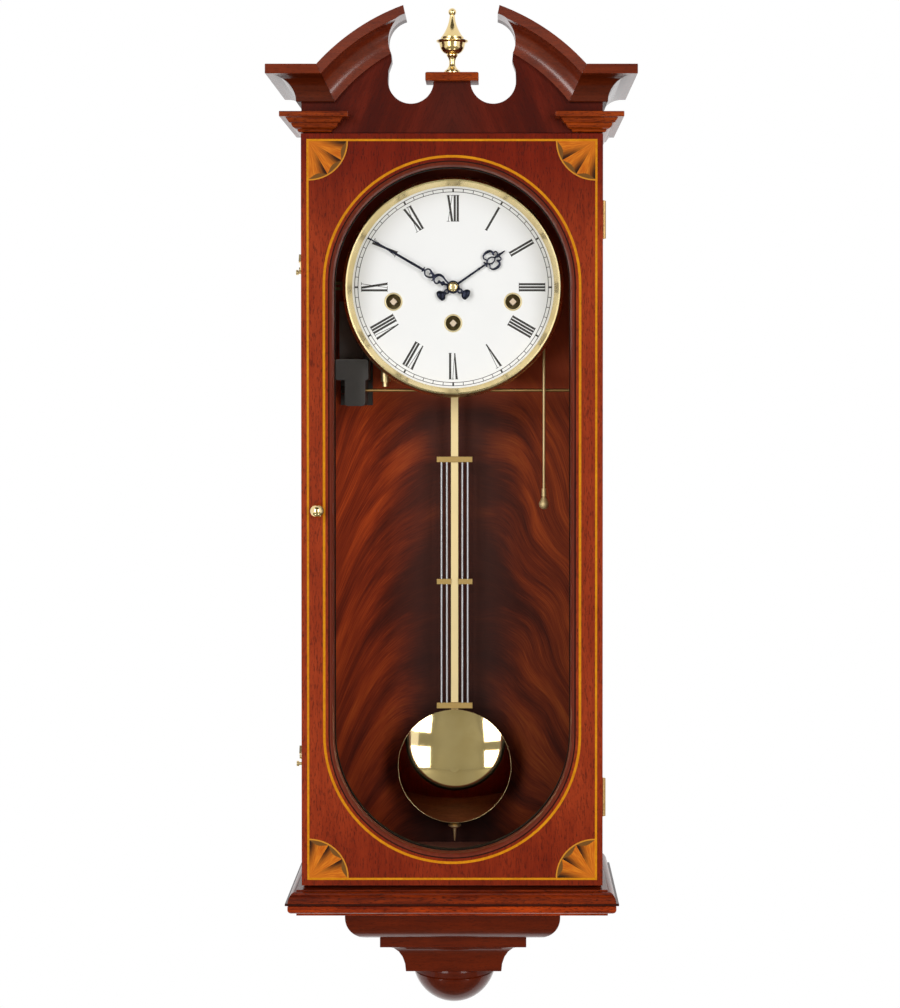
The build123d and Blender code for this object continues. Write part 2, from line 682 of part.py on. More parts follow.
def corner_fans():
    """Quarter-round inlays in the four corners of the border."""
    inset = STRING_INSET + STRING_WIDE
    fans = []
    for x_sign in (-1, 1):
        for z_edge, z_sign in ((DOOR_TOP_Z, 1), (DOOR_BOTTOM_Z, -1)):
            x = x_sign * (CASE_HALF - inset)
            z = z_edge - z_sign * inset
            square = Pos(x - x_sign * FAN_R / 2, z - z_sign * FAN_R / 2) * Rectangle(FAN_R, FAN_R)
            fans.append(slab(disc(x, z, FAN_R) & square, DOOR_FRONT, DOOR_FRONT + INLAY_DEEP))
    return fans


def door_glass():
    return slab(stadium(FRAME_OPEN_R), GLASS_FRONT, GLASS_BACK)


def glass_retainer():
    return slab(stadium(FRAME_OPEN_R) - stadium(RETAINER_R), GLASS_BACK, RETAINER_BACK)


def door_knob():
    neck = 2.4
    ball_low = 2.6
    ball_high = ball_low + KNOB_R + (KNOB_R ** 2 - neck ** 2) ** 0.5
    shank = -KNOB_SHANK_LONG
    edges = (
        Polyline((0, shank), (KNOB_SHANK_R, shank), (KNOB_SHANK_R, 0), (4.2, 0), (4.2, 0.9), (neck, 1.6),
                 (neck, ball_low))
        + dome(neck, ball_low, ball_high)
        + Line((0, ball_high), (0, shank)))
    return Pos(KNOB_X, DOOR_FRONT, KNOB_Z) * turned_forward(make_face(edges))


def hinge_case_leaves():
    leaves = []
    half = HINGE_TALL / 2
    leaf_front = CASE_FRONT - LEAF_THICK
    for z in HINGE_Z:
        leaf = box(LEAF_INNER_X, LEAF_OUTER_X, leaf_front, CASE_FRONT, z - half, z + half)
        for low, high in ((-half, -KNUCKLE_JOIN), (KNUCKLE_JOIN, half)):
            leaf += rod_z(HINGE_X, HINGE_Y, z + low, z + high, KNUCKLE_R)
            leaf += box(LEAF_INNER_X, HINGE_X, leaf_front, CASE_FRONT, z + low, z + high)
        leaf += rod_z(HINGE_X, HINGE_Y, z - half - 0.4, z + half + 0.4, HINGE_PIN_R)
        leaves.append(leaf)
    return leaves


def hinge_door_leaves():
    leaves = []
    half = HINGE_TALL / 2
    middle = KNUCKLE_JOIN - KNUCKLE_GAP
    leaf_back = DOOR_BACK + LEAF_THICK
    for z in HINGE_Z:
        leaf = box(LEAF_INNER_X, LEAF_OUTER_X, DOOR_BACK, leaf_back, z - half, z + half)
        leaf += box(LEAF_INNER_X, HINGE_X, DOOR_BACK, leaf_back, z - middle, z + middle)
        leaf += rod_z(HINGE_X, HINGE_Y, z - middle, z + middle, KNUCKLE_R)
        leaves.append(leaf - rod_z(HINGE_X, HINGE_Y, z - half, z + half, HINGE_PIN_R + RUN_GAP))
    return leaves


def latch_hook(z):
    """Flat brass hook on the left side, swung up clear of its stud."""
    inner, tip = [HOOK_PIVOT_Y - HOOK_STUD_Y + ahead for ahead in HOOK_FINGER]
    bar = polygon((0, -1.7), (tip, -1.3), (tip, 1.9), (0, 1.9))
    finger = polygon((inner, -HOOK_FINGER_DROP), (tip, -HOOK_FINGER_DROP), (tip, 0), (inner, 0))
    outline = disc(0, 0, 2.6) + bar + finger - disc(0, 0, HOOK_PIN_R + RUN_GAP)
    plane = Plane((HOOK_X[1], HOOK_PIVOT_Y, z), x_dir=(0, -1, 0), z_dir=(-1, 0, 0))
    lifted = plane * (Rot(0, 0, HOOK_LIFT) * outline)
    return extrude(lifted, HOOK_X[1] - HOOK_X[0])


def hook_pivots():
    pins = []
    for z in HOOK_Z:
        pin = rod_x(HOOK_PIVOT_Y, z, HOOK_X[0] - 0.1, -CASE_HALF, HOOK_PIN_R)
        pins.append(pin + rod_x(HOOK_PIVOT_Y, z, HOOK_X[0] - 1.3, HOOK_X[0] - 0.1, HOOK_HEAD_R)
                    + rod_x(HOOK_PIVOT_Y, z, HOOK_X[1] + 0.1, -CASE_HALF, HOOK_HEAD_R))
    return pins


def latch_studs():
    studs = []
    for z in HOOK_Z:
        stud_z = z - HOOK_STUD_DROP
        stud = rod_x(HOOK_STUD_Y, stud_z, HOOK_X[0] - 1.6, -CASE_HALF, HOOK_PIN_R)
        studs.append(stud + rod_x(HOOK_STUD_Y, stud_z, HOOK_X[0] - 2.2, HOOK_X[0] - 0.5, HOOK_HEAD_R))
    return studs


# Dial

def dial():
    outline = Circle(DIAL_R) - Circle(HOUR_PIPE_R + 0.8)
    for x, z in WINDING.values():
        outline -= disc(x, z, BUSH_HOLE_R + BUSH_SLEEVE)
    plate = slab(Pos(*DIAL) * outline, DIAL_FRONT, DIAL_BACK)
    for x in (-FOOT_X, FOOT_X):
        for z in (-FOOT_Z, FOOT_Z):
            plate += rod_y(x, DIAL_Z + z, DIAL_BACK, FRONT_PLATE[0], 2.0)
    return plate


def bezel():
    """Turned ring around the dial's edge, drawn as radius and forward reach."""
    lip = (BEZEL_LIP_R, -BEZEL_FRONT - 0.6)
    crest = (BEZEL_CREST_R, -BEZEL_FRONT)
    shoulder = (BEZEL_OUT_R, -DIAL_FRONT + 2.4)
    edges = (
        Polyline(crest, lip, (BEZEL_IN_R, -DIAL_FRONT + 2), (BEZEL_IN_R, -DIAL_FRONT), (DIAL_R, -DIAL_FRONT),
                 (DIAL_R, -DIAL_BACK), (BEZEL_OUT_R, -DIAL_BACK), shoulder)
        + ThreePointArc(shoulder, (BEZEL_OUT_R - 0.9, -BEZEL_FRONT - 2.2), crest))
    return Pos(0, 0, DIAL_Z) * turned_forward(make_face(edges))


def winding_bushes():
    face = -DIAL_FRONT
    sleeve_r = BUSH_HOLE_R + BUSH_SLEEVE
    outline = polygon((BUSH_HOLE_R, -DIAL_BACK), (sleeve_r, -DIAL_BACK), (sleeve_r, face), (BUSH_R, face),
                      (BUSH_R, face + 0.3), (BUSH_R - 0.5, face + 0.7), (BUSH_HOLE_R, face + 0.2))
    return [Pos(x, 0, z) * turned_forward(outline) for x, z in ARBOR.values()]


# Movement

def plate_outline():
    return chamfer((Pos(*DIAL) * Rectangle(2 * PLATE_HALF, 2 * PLATE_TALL)).vertices(), PLATE_CHAMFER)


def pivot_holes(outline, extra):
    for centre, r in extra:
        outline -= disc(*centre, r + RUN_GAP)
    return outline


def front_plate():
    holes = [(DIAL, ARBOR_R), (THIRD, PIVOT_R), (ESCAPE, PIVOT_R), (PALLET, PIVOT_R), (HAMMER_PIVOT, PIVOT_R)]
    holes += [(centre, WINDING_R) for centre in ARBOR.values()]
    lug_z = (LUG_Z[0] + LUG_Z[1]) / 2
    lug = Pos((LUG_X - PLATE_HALF) / 2, lug_z) * Rectangle(-LUG_X - PLATE_HALF + 2, LUG_Z[1] - LUG_Z[0])
    lug -= Pos(LUG_SLOT_X, lug_z) * SlotOverall(4.0, 2.2)
    plate = slab(pivot_holes(plate_outline() + lug, holes), *FRONT_PLATE)
    plate += rod_y(LUG_STUD_X, lug_z, FRONT_PLATE[0] - LUG_STUD_LONG, FRONT_PLATE[0], LUG_STUD_R)
    plate += rod_y(*MINUTE_STUD, FRONT_PLATE[0] - 7.0, FRONT_PLATE[0], PIVOT_R)
    guide = box(PULL_X - 4, PULL_X + 4, FRONT_PLATE[1], PULL_Y + 3, *GUIDE_Z)
    guide -= rod_z(PULL_X, PULL_Y, *GUIDE_Z, PULL_R + RUN_GAP)
    return plate + guide + box(PULL_X - 10, PULL_X + 4, *FRONT_PLATE, *GUIDE_Z)


def back_plate():
    holes = [(DIAL, PIVOT_R), (THIRD, PIVOT_R), (ESCAPE, PIVOT_R), (PALLET, ARBOR_R), (HAMMER_PIVOT, PIVOT_R)]
    holes += [(centre, WINDING_R) for centre in ARBOR.values()]
    return slab(pivot_holes(plate_outline(), holes), *BACK_PLATE)


def movement_pillars():
    """Pillars between the plates, and posts from the back plate to the back panel."""
    pillars = []
    for side in (-1, 1):
        for x, z in PILLARS:
            pillars.append(rod_y(side * x, DIAL_Z + z, FRONT_PLATE[1], BACK_PLATE[0], PILLAR_R))
        for x, z in POSTS:
            pillars.append(rod_y(side * x, DIAL_Z + z, BACK_PLATE[1], -BACK_THICK, POST_R))
    return pillars


def arbor(centre, r):
    """Round arbor with thinner pivots that run in the two plates."""
    return rod_y(*centre, *ARBOR_Y, r) + rod_y(*centre, FRONT_PLATE[0], BACK_PLATE[1] - 0.5, PIVOT_R)


def crossed_out(outline, reach, r):
    """Wheel outline with four round openings between its spokes."""
    for turn in range(45, 360, 90):
        outline -= Rot(0, 0, turn) * Pos(reach, 0) * Circle(r)
    return outline


def wheel(outline, centre, y0, y1):
    return slab(Pos(*centre) * outline, y0, y1)


BARREL_PHASE = pi / 2
CENTRE_PINION_PHASE = meshed_phase(BARREL_TEETH, ARBOR["going"], BARREL_PHASE, CENTRE_PINION, DIAL)
CENTRE_PHASE = 0.0
THIRD_PINION_PHASE = meshed_phase(CENTRE_TEETH, DIAL, CENTRE_PHASE, THIRD_PINION, THIRD)
THIRD_PHASE = 0.0
ESCAPE_PINION_PHASE = meshed_phase(THIRD_TEETH, THIRD, THIRD_PHASE, ESCAPE_PINION, ESCAPE)
CANNON_PHASE = 0.0
MINUTE_PHASE = meshed_phase(CANNON_TEETH, DIAL, CANNON_PHASE, MINUTE_TEETH, MINUTE_STUD)
MINUTE_PINION_PHASE = 0.0
HOUR_PHASE = meshed_phase(MINUTE_PINION, MINUTE_STUD, MINUTE_PINION_PHASE, HOUR_TEETH, DIAL)


def barrel(centre, teeth, module, phase):
    outline = gear(teeth, module, phase) - Circle(WINDING_R + RUN_GAP)
    drum = Circle(DRUM_R) - Circle(WINDING_R + RUN_GAP)
    return wheel(outline, centre, *BARREL_WHEEL_Y) + wheel(drum, centre, *DRUM_Y)


def going_barrel():
    return barrel(ARBOR["going"], BARREL_TEETH, BARREL_MODULE, BARREL_PHASE)


def spring_barrels():
    module = BARREL_MODULE * SIDE_BARREL_SHARE
    return [barrel(ARBOR[name], BARREL_TEETH, module, BARREL_PHASE) for name in ("strike", "chime")]


def winding_arbor(name):
    """Key-wound arbor: a square behind the dial hole, a round shank and a ratchet wheel."""
    centre = ARBOR[name]
    shank = rod_y(*centre, FRONT_PLATE[0] - 1.0, BACK_PLATE[1] + 1.0, WINDING_R)
    square = wheel(Rot(0, 0, 45) * Rectangle(WINDING_SQUARE, WINDING_SQUARE), centre, DIAL_FRONT + 0.5,
                   FRONT_PLATE[0] - 1.0)
    ratchet = wheel(gear(RATCHET_TEETH, RATCHET_MODULE, 0.0), centre, *RATCHET_Y)
    return shank + square + ratchet


def centre_wheel():
    """Centre arbor, which carries the hands through a friction fit in the cannon pinion."""
    shoulder_y = ARBOR_Y[1] - 0.5
    body = rod_y(*DIAL, CENTRE_TIP_Y, shoulder_y, CENTRE_ARBOR_R)
    body += rod_y(*DIAL, shoulder_y, BACK_PLATE[1] + 0.5, PIVOT_R)
    body += rod_y(*DIAL, FRONT_PLATE[0] - 0.3, CENTRE_WHEEL_Y[1] + 0.4, ARBOR_R)
    body += wheel(gear(CENTRE_PINION, BARREL_MODULE, CENTRE_PINION_PHASE), DIAL, *CENTRE_PINION_Y)
    crossings = crossed_out(gear(CENTRE_TEETH, TRAIN_MODULE, CENTRE_PHASE), 10.0, 4.6)
    return body + wheel(crossings, DIAL, *CENTRE_WHEEL_Y)


def third_wheel():
    body = arbor(THIRD, ARBOR_R)
    body += wheel(gear(THIRD_PINION, TRAIN_MODULE, THIRD_PINION_PHASE), THIRD, *THIRD_PINION_Y)
    crossings = crossed_out(gear(THIRD_TEETH, ESCAPE_MODULE, THIRD_PHASE), 9.6, 4.4)
    return body + wheel(crossings, THIRD, *THIRD_WHEEL_Y)


def escape_wheel():
    """Escape pinion and a wheel of pointed, forward-leaning teeth."""
    body = arbor(ESCAPE, 1.0)
    body += wheel(gear(ESCAPE_PINION, ESCAPE_MODULE, ESCAPE_PINION_PHASE), ESCAPE, *ESCAPE_PINION_Y)
    points = []
    step = 2 * pi / ESCAPE_TEETH
    root_r = ESCAPE_R - 1.9
    for tooth in range(ESCAPE_TEETH):
        for turn, r in ((0, ESCAPE_R), (0.12, ESCAPE_R), (0.42, root_r), (0.9, root_r)):
            angle = (tooth + turn) * step
            points.append((r * cos(angle), r * sin(angle)))
    return body + wheel(polygon(*points), ESCAPE, *ESCAPE_WHEEL_Y)


def pallet_anchor():
    """Anchor over the escape wheel, its arbor, and the crutch that meets the pendulum rod."""
    foot_z = ESCAPE[1] - PALLET[1] + ESCAPE_R
    half = [(-11.0, foot_z - 0.8), (-9.0, foot_z), (-5.2, -1.6), (0, -0.6)]
    crown = [(6.4, 1.6), (0, 3.0), (-6.4, 1.6)]
    strap = polygon(*half, *[(-x, z) for x, z in reversed(half[:-1])], *crown)
    pivot_y = FRONT_PLATE[1] + 1.0
    body = rod_y(*PALLET, pivot_y, CRUTCH_Y[1], ARBOR_R) + rod_y(*PALLET, FRONT_PLATE[0], pivot_y, PIVOT_R)
    body += wheel(strap, PALLET, *ANCHOR_Y)
    fork_top = PENDULUM_Z - CRUTCH_DROP
    fork_low = fork_top - FORK_TALL
    inner = STRIP_WIDE / 2 + FORK_GAP
    outer = inner + FORK_THICK
    body += box(-1.5, 1.5, *CRUTCH_Y, fork_top, PENDULUM_Z)
    body += box(-outer, outer, *CRUTCH_Y, fork_low, fork_top)
    prong = box(inner, outer, CRUTCH_Y[0], PENDULUM_Y + STRIP_THICK / 2, fork_low, fork_top)
    return body + prong + mirrored(prong)


def suspension_cock():
    """Bracket behind the back plate, slotted for the pendulum's suspension spring."""
    body = box(-7, 7, BACK_PLATE[1], PENDULUM_Y + 3.0, PENDULUM_Z + 3.0, PENDULUM_Z + 10.0)
    return body - box(-3.8, 3.8, PENDULUM_Y - 0.9, PENDULUM_Y + 0.9, PENDULUM_Z + 2.0, PENDULUM_Z + 10.5)


# Motion work and hands

def cannon_pinion():
    bore = Circle(CENTRE_ARBOR_R + RUN_GAP)
    pipe = Circle(CANNON_PIPE_R) - bore
    teeth = gear(CANNON_TEETH, CANNON_MODULE, CANNON_PHASE) - bore
    return wheel(pipe, DIAL, MINUTE_HAND_Y - 0.2, CANNON_WHEEL_Y[0]) + wheel(teeth, DIAL, *CANNON_WHEEL_Y)


def minute_wheel():
    bore = Circle(PIVOT_R + RUN_GAP)
    pinion = gear(MINUTE_PINION, HOUR_MODULE, MINUTE_PINION_PHASE) - bore
    return (wheel(gear(MINUTE_TEETH, CANNON_MODULE, MINUTE_PHASE) - bore, MINUTE_STUD, *MINUTE_WHEEL_Y)
            + wheel(pinion, MINUTE_STUD, *MINUTE_PINION_Y))


def hour_wheel():
    bore = Circle(CANNON_PIPE_R + RUN_GAP)
    return (wheel(gear(HOUR_TEETH, HOUR_MODULE, HOUR_PHASE) - bore, DIAL, *HOUR_WHEEL_Y)
            + wheel(Circle(HOUR_PIPE_R) - bore, DIAL, HOUR_HAND_Y, HOUR_WHEEL_Y[0]))


def ring(x, z, outer, inner):
    return Pos(x, z) * (Circle(outer) - Circle(inner))


def hand_tail():
    """Short openwork tail with a solid spade end, below the hub."""
    stem = ring(0, -7.6, 2.7, 1.7)
    spade = disc(0, -13.0, 2.9) + polygon((-1.6, -11.0), (0, -8.8), (1.6, -11.0)) - disc(0.2, -10.7, 0.6)
    return stem + spade


def hand_at(outline, angle, y_front):
    placed = Pos(*DIAL) * Rot(0, 0, -angle) * outline
    return slab(placed, y_front, y_front + HAND_THICK)


def minute_hand():
    """Serpentine hand: an S of scrolls near the hub, a cross bar and a long tapering blade."""
    near = ring(-1.7, 13.0, 4.6, 3.6) - Pos(-5.5, 9.0) * Rectangle(4, 5)
    near += disc(-3.6, 9.6, 1.3) + disc(-1.5, 8.4, 1.5)
    far = ring(1.4, 21.4, 3.8, 2.9) + disc(2.0, 18.4, 1.2)
    blade = polygon((-0.9, 25.0), (-0.75, 60.0), (-0.3, MINUTE_LONG), (0.3, MINUTE_LONG), (0.75, 60.0),
                    (0.9, 25.0))
    bar = polygon((-2.0, 26.2), (0, 25.6), (2.0, 26.2), (0, 27.6))
    spine = polygon((-0.5, 4.0), (-0.5, 9.2), (0.5, 9.2), (0.5, 4.0))
    link = polygon((-0.9, 16.4), (0.2, 18.8), (1.2, 18.2), (0.1, 15.8))
    outline = Circle(5.2) + near + far + link + blade + bar + spine + hand_tail()
    return hand_at(outline - Circle(CANNON_PIPE_R), MINUTE_ANGLE, MINUTE_HAND_Y)


def hour_hand():
    """Serpentine hand: a plain shaft, two broad scrolls about an almond ring, and a point."""
    shaft = polygon((-0.7, 4.0), (-0.5, 31.0), (0.5, 31.0), (0.7, 4.0))
    bead = polygon((-1.2, 25.6), (0, 24.0), (1.2, 25.6), (0, 27.2))
    bar = polygon((-2.6, 30.6), (2.6, 30.6), (2.6, 31.7), (-2.6, 31.7))
    almond = Pos(0, 36.2) * (Ellipse(1.9, 4.6) - Ellipse(1.0, 3.6))
    outline = Circle(5.2) + shaft + bead + bar + almond
    scroll = ring(4.0, 36.8, 4.3, 3.2) - polygon((2.2, 30), (5.4, 30), (4.2, 34.2))
    scroll += ring(2.2, 42.2, 2.1, 1.3) + disc(4.3, 40.2, 1.1) + disc(2.0, 35.6, 0.9)
    outline += scroll + mirrored(scroll)
    point = polygon((-0.9, 40.4), (-0.8, 44.6), (0, HOUR_LONG), (0.8, 44.6), (0.9, 40.4))
    outline += point + hand_tail()
    return hand_at(outline - Circle(HOUR_PIPE_R), HOUR_ANGLE, HOUR_HAND_Y)


def hand_nut():
    seat = 0.2 - MINUTE_HAND_Y
    bore = CENTRE_ARBOR_R + RUN_GAP
    edges = (
        Polyline((bore, seat), (3.8, seat), (3.8, seat + 1.4))
        + ThreePointArc((3.8, seat + 1.4), (2.7, seat + 2.2), (bore, seat + 2.5))
        + Line((bore, seat + 2.5), (bore, seat)))
    return Pos(0, 0, DIAL_Z) * turned_forward(make_face(edges))


# Pendulum

def pendulum_rod():
    """Suspension spring, flat rod and the rating screw below it, as one hanging piece."""
    front = PENDULUM_Y - STRIP_THICK / 2
    rear = PENDULUM_Y + STRIP_THICK / 2
    half = STRIP_WIDE / 2
    top_z = PENDULUM_Z - SPRING_REACH
    spring = box(-half, half, PENDULUM_Y - SPRING_HALF_THICK, PENDULUM_Y + SPRING_HALF_THICK, top_z,
                 PENDULUM_Z + SPRING_REACH)
    rod = box(-half, half, front, rear, STRIP_BOTTOM_Z, top_z)
    screw_low = NUT_Z[0] - 1.0
    screw = rod_z(0, PENDULUM_Y, screw_low, STRIP_BOTTOM_Z, SCREW_R)
    taper = Cone(SCREW_TIP_R, SCREW_R, screw_low - SCREW_TIP_Z)
    return spring + rod + screw + Pos(0, PENDULUM_Y, (screw_low + SCREW_TIP_Z) / 2) * taper


def gridiron():
    """Four steel rods between two cross bars, and a middle bar in halves beside the strip."""
    front = PENDULUM_Y - STRIP_THICK / 2
    bar_front = front - BAR_THICK
    half = BAR_WIDE / 2
    lowest, middle, highest = sorted(BAR_Z)
    rods = [rod_z(side * x, front - BAR_THICK / 2, lowest[1], highest[0], GRID_ROD_R)
            for x in GRID_ROD_X for side in (-1, 1)]
    pieces = [box(-half, half, bar_front, front, *bar) for bar in (lowest, highest)]
    for x0, x1 in ((-half, -STRIP_WIDE / 2), (STRIP_WIDE / 2, half)):
        bar = box(x0, x1, bar_front, front, *middle)
        for rod in rods:
            bar -= rod
        pieces.append(bar)
    return pieces + rods


def pendulum_bob():
    back = -(PENDULUM_Y - STRIP_THICK / 2)
    rim = back + BOB_RIM
    edges = (
        Polyline((0, back), (BOB_R - 1.5, back), (BOB_R, back + 1.2), (BOB_R, rim))
        + dome(BOB_R, rim, rim + BOB_DOME)
        + Line((0, rim + BOB_DOME), (0, back)))
    return Pos(0, 0, BOB_Z) * turned_forward(make_face(edges))


def rating_nut():
    """Lens-shaped nut on the rating screw."""
    low, high = NUT_Z
    bore = SCREW_R + RUN_GAP
    rim_low = (low + high - NUT_RIM) / 2
    rim_high = rim_low + NUT_RIM
    upper = ThreePointArc((bore, high), (0.7 * NUT_R, high - 0.9), (NUT_R, rim_high))
    lower = ThreePointArc((NUT_R, rim_low), (0.7 * NUT_R, low + 0.9), (bore, low))
    outline = upper + Line((NUT_R, rim_high), (NUT_R, rim_low)) + lower + Line((bore, low), (bore, high))
    return Pos(0, PENDULUM_Y, 0) * turned(make_face(outline))


# Chime

def chime_rod_block():
    """Cast block on the back panel that holds the chime rods at their left ends."""
    block = box(*BLOCK_X, *BLOCK_Y, *BLOCK_Z)
    block = fillet(block.edges().filter_by(Axis.Y).group_by(Axis.Z)[0], 3)
    head = box(*BLOCK_HEAD_X, *BLOCK_Y, *BLOCK_HEAD_Z)
    head = fillet(head.edges().filter_by(Axis.Y), 2)
    foot_front = -BACK_THICK - BLOCK_FOOT_THICK
    foot = box(*BLOCK_HEAD_X, foot_front, -BACK_THICK, BLOCK_Z[0], BLOCK_TOP_Z)
    web = box(BLOCK_X[0] + 2, BLOCK_NECK_X[1] - 2, BLOCK_Y[1], foot_front, BLOCK_Z[0] + 6, BLOCK_TOP_Z - 6)
    neck = box(*BLOCK_NECK_X, BLOCK_Y[1] - 8, BLOCK_Y[1], BLOCK_HEAD_Z[1], BLOCK_TOP_Z)
    screw = rod_x(ROD_Y[1], ROD_Z, BLOCK_SCREW_X, BLOCK_X[0], BLOCK_SCREW_R)
    return block + head + foot + web + neck + screw


def chime_rods():
    return [rod_x(y, ROD_Z, BLOCK_X[1], end, ROD_R) for y, end in zip(ROD_Y, ROD_END_X)]


def strike_hammers():
    """Four hammers fixed to one arbor, a little above the rods when they rest."""
    px, pz = HAMMER_PIVOT
    body = rod_y(px, pz, FRONT_PLATE[1] + 0.3, BACK_PLATE[0] - 0.3, 1.8)
    body += rod_y(px, pz, FRONT_PLATE[0], BACK_PLATE[1], PIVOT_R)
    run = hypot(HAMMER_X - px, HAMMER_Z[1] - pz)
    lean = (HAMMER_X - px) / run, (HAMMER_Z[1] - pz) / run
    side = (-lean[1] * HAMMER_ARM_HALF, lean[0] * HAMMER_ARM_HALF)
    arm = polygon((px + side[0], pz + side[1]), (HAMMER_X + side[0], HAMMER_Z[1] + side[1]),
                  (HAMMER_X - side[0], HAMMER_Z[1] - side[1]), (px - side[0], pz - side[1]))
    for y in ROD_Y:
        body += slab(arm, y - 0.8, y + 0.8)
        body += rod_z(HAMMER_X, y, HAMMER_Z[0], HAMMER_Z[1] + 0.8, HAMMER_R)
        body += rod_z(HAMMER_X, y, HAMMER_TIP_Z, HAMMER_Z[0], HAMMER_TIP_R)
    return body


def chime_silent_pull():
    """Hanging brass rod with a drop-shaped pull, stopped by a collar above its guide."""
    low, high = PULL_Z
    collar_z = GUIDE_Z[1] + PULL_TRAVEL + 0.3
    collar = rod_z(PULL_X, PULL_Y, collar_z, collar_z + 2.0, PULL_COLLAR_R)
    belly_z = low + 1.5 * PULL_DROP_R
    neck_z = low + PULL_DROP_TALL
    drop = (
        dome(PULL_DROP_R, belly_z, low)
        + Polyline((PULL_DROP_R, belly_z), (PULL_R, neck_z), (0, neck_z), (0, low)))
    ferrule = rod_z(PULL_X, PULL_Y, neck_z, neck_z + PULL_FERRULE_TALL, PULL_FERRULE_R)
    rod = rod_z(PULL_X, PULL_Y, neck_z, high, PULL_R) + ferrule
    return rod + collar + Pos(PULL_X, PULL_Y, 0) * turned(make_face(drop))


def wood_screws():
    """Hanger screws, and the screw pins that the hooks turn on."""
    screws = []
    for z in HANGER_SCREW_Z:
        head = rod_y(0, z, -HANGER_THICK, -0.3, WOOD_SCREW_HEAD_R)
        screws.append(head + rod_y(0, z, 1 - BACK_THICK, -HANGER_THICK, WOOD_SCREW_R))
    return screws + hook_pivots()


NODES = {
    "back_panel": back_panel,
    "case_side_left": case_side,
    "case_side_right": lambda: mirrored(case_side()) - hinge_clearance(),
    "case_top": lambda: case_board(CASE_TOP_Z),
    "case_bottom": lambda: case_board(CASE_BOTTOM_Z + BOARD_THICK),
    "hanger_plate": hanger_plate,
    "wood_screws": wood_screws,
    "pediment_board": pediment_board,
    "arch_mouldings": lambda: [arch_moulding(), mirrored(arch_moulding())],
    "cornices": lambda: [cornice(), mirrored(cornice())],
    "capitals": lambda: [capital(), mirrored(capital())],
    "finial_plinth": finial_plinth,
    "finial": finial,
    "base_mouldings": base_mouldings,
    "base_board": base_board,
    "drop_block": drop_block,
    "drop_cove": drop_cove,
    "drop_bun": drop_bun,
    "hinge_case_leaves": hinge_case_leaves,
    "door_frame": door_frame,
    "door_bead": door_bead,
    "door_stringing": door_stringing,
    "corner_fans": corner_fans,
    "door_glass": door_glass,
    "glass_retainer": glass_retainer,
    "door_knob": door_knob,
    "hinge_door_leaves": hinge_door_leaves,
    "latch_studs": latch_studs,
    "latch_hook_upper": lambda: latch_hook(HOOK_Z[0]),
    "latch_hook_lower": lambda: latch_hook(HOOK_Z[1]),
    "dial": dial,
    "bezel": bezel,
    "winding_bushes": winding_bushes,
    "front_plate": front_plate,
    "back_plate": back_plate,
    "movement_pillars": movement_pillars,
    "spring_barrels": spring_barrels,
    "going_barrel": going_barrel,
    "centre_wheel": centre_wheel,
    "third_wheel": third_wheel,
    "escape_wheel": escape_wheel,
    "pallet_anchor": pallet_anchor,
    "suspension_cock": suspension_cock,
    "winding_arbor_strike": lambda: winding_arbor("strike"),
    "winding_arbor_going": lambda: winding_arbor("going"),
    "winding_arbor_chime": lambda: winding_arbor("chime"),
    "cannon_pinion": cannon_pinion,
    "minute_wheel": minute_wheel,
    "hour_wheel": hour_wheel,
    "minute_hand": minute_hand,
    "hour_hand": hour_hand,
    "hand_nut": hand_nut,
    "pendulum_rod": pendulum_rod,
    "gridiron": gridiron,
    "pendulum_bob": pendulum_bob,
    "rating_nut": rating_nut,
    "chime_rod_block": chime_rod_block,
    "chime_rods": chime_rods,
    "strike_hammers": strike_hammers,
    "chime_silent_pull": chime_silent_pull,
}

os.makedirs("parts", exist_ok=True)
for name, make in NODES.items():
    shape = make()
    export_step(Compound(children=shape) if isinstance(shape, list) else shape, f"parts/{name}.step")
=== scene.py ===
import json
from math import pi, radians

import bmesh
import bpy
from mathutils import Matrix, Vector


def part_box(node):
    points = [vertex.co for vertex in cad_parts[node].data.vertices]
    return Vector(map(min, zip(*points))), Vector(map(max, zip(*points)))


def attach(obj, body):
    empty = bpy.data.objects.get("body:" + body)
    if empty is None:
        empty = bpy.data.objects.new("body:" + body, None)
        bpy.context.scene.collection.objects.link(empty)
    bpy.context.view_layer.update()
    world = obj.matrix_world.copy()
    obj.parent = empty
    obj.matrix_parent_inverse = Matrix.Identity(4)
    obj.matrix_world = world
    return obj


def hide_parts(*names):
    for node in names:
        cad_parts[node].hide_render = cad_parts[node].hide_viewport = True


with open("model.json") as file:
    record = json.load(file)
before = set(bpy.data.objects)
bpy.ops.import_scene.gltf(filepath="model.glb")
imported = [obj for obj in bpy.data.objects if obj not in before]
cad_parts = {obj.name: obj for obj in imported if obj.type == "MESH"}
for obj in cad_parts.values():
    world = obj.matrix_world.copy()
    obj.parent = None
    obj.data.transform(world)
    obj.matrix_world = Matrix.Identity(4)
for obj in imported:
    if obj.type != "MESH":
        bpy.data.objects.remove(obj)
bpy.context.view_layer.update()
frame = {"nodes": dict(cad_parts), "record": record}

MM = 0.001
RECORD = frame["record"]
BODY = {node: body for body, nodes in RECORD["behaviour"]["bodies"].items() for node in nodes}
SLOT = {part["node"]: part["material_slot"] for part in RECORD["subparts"]}

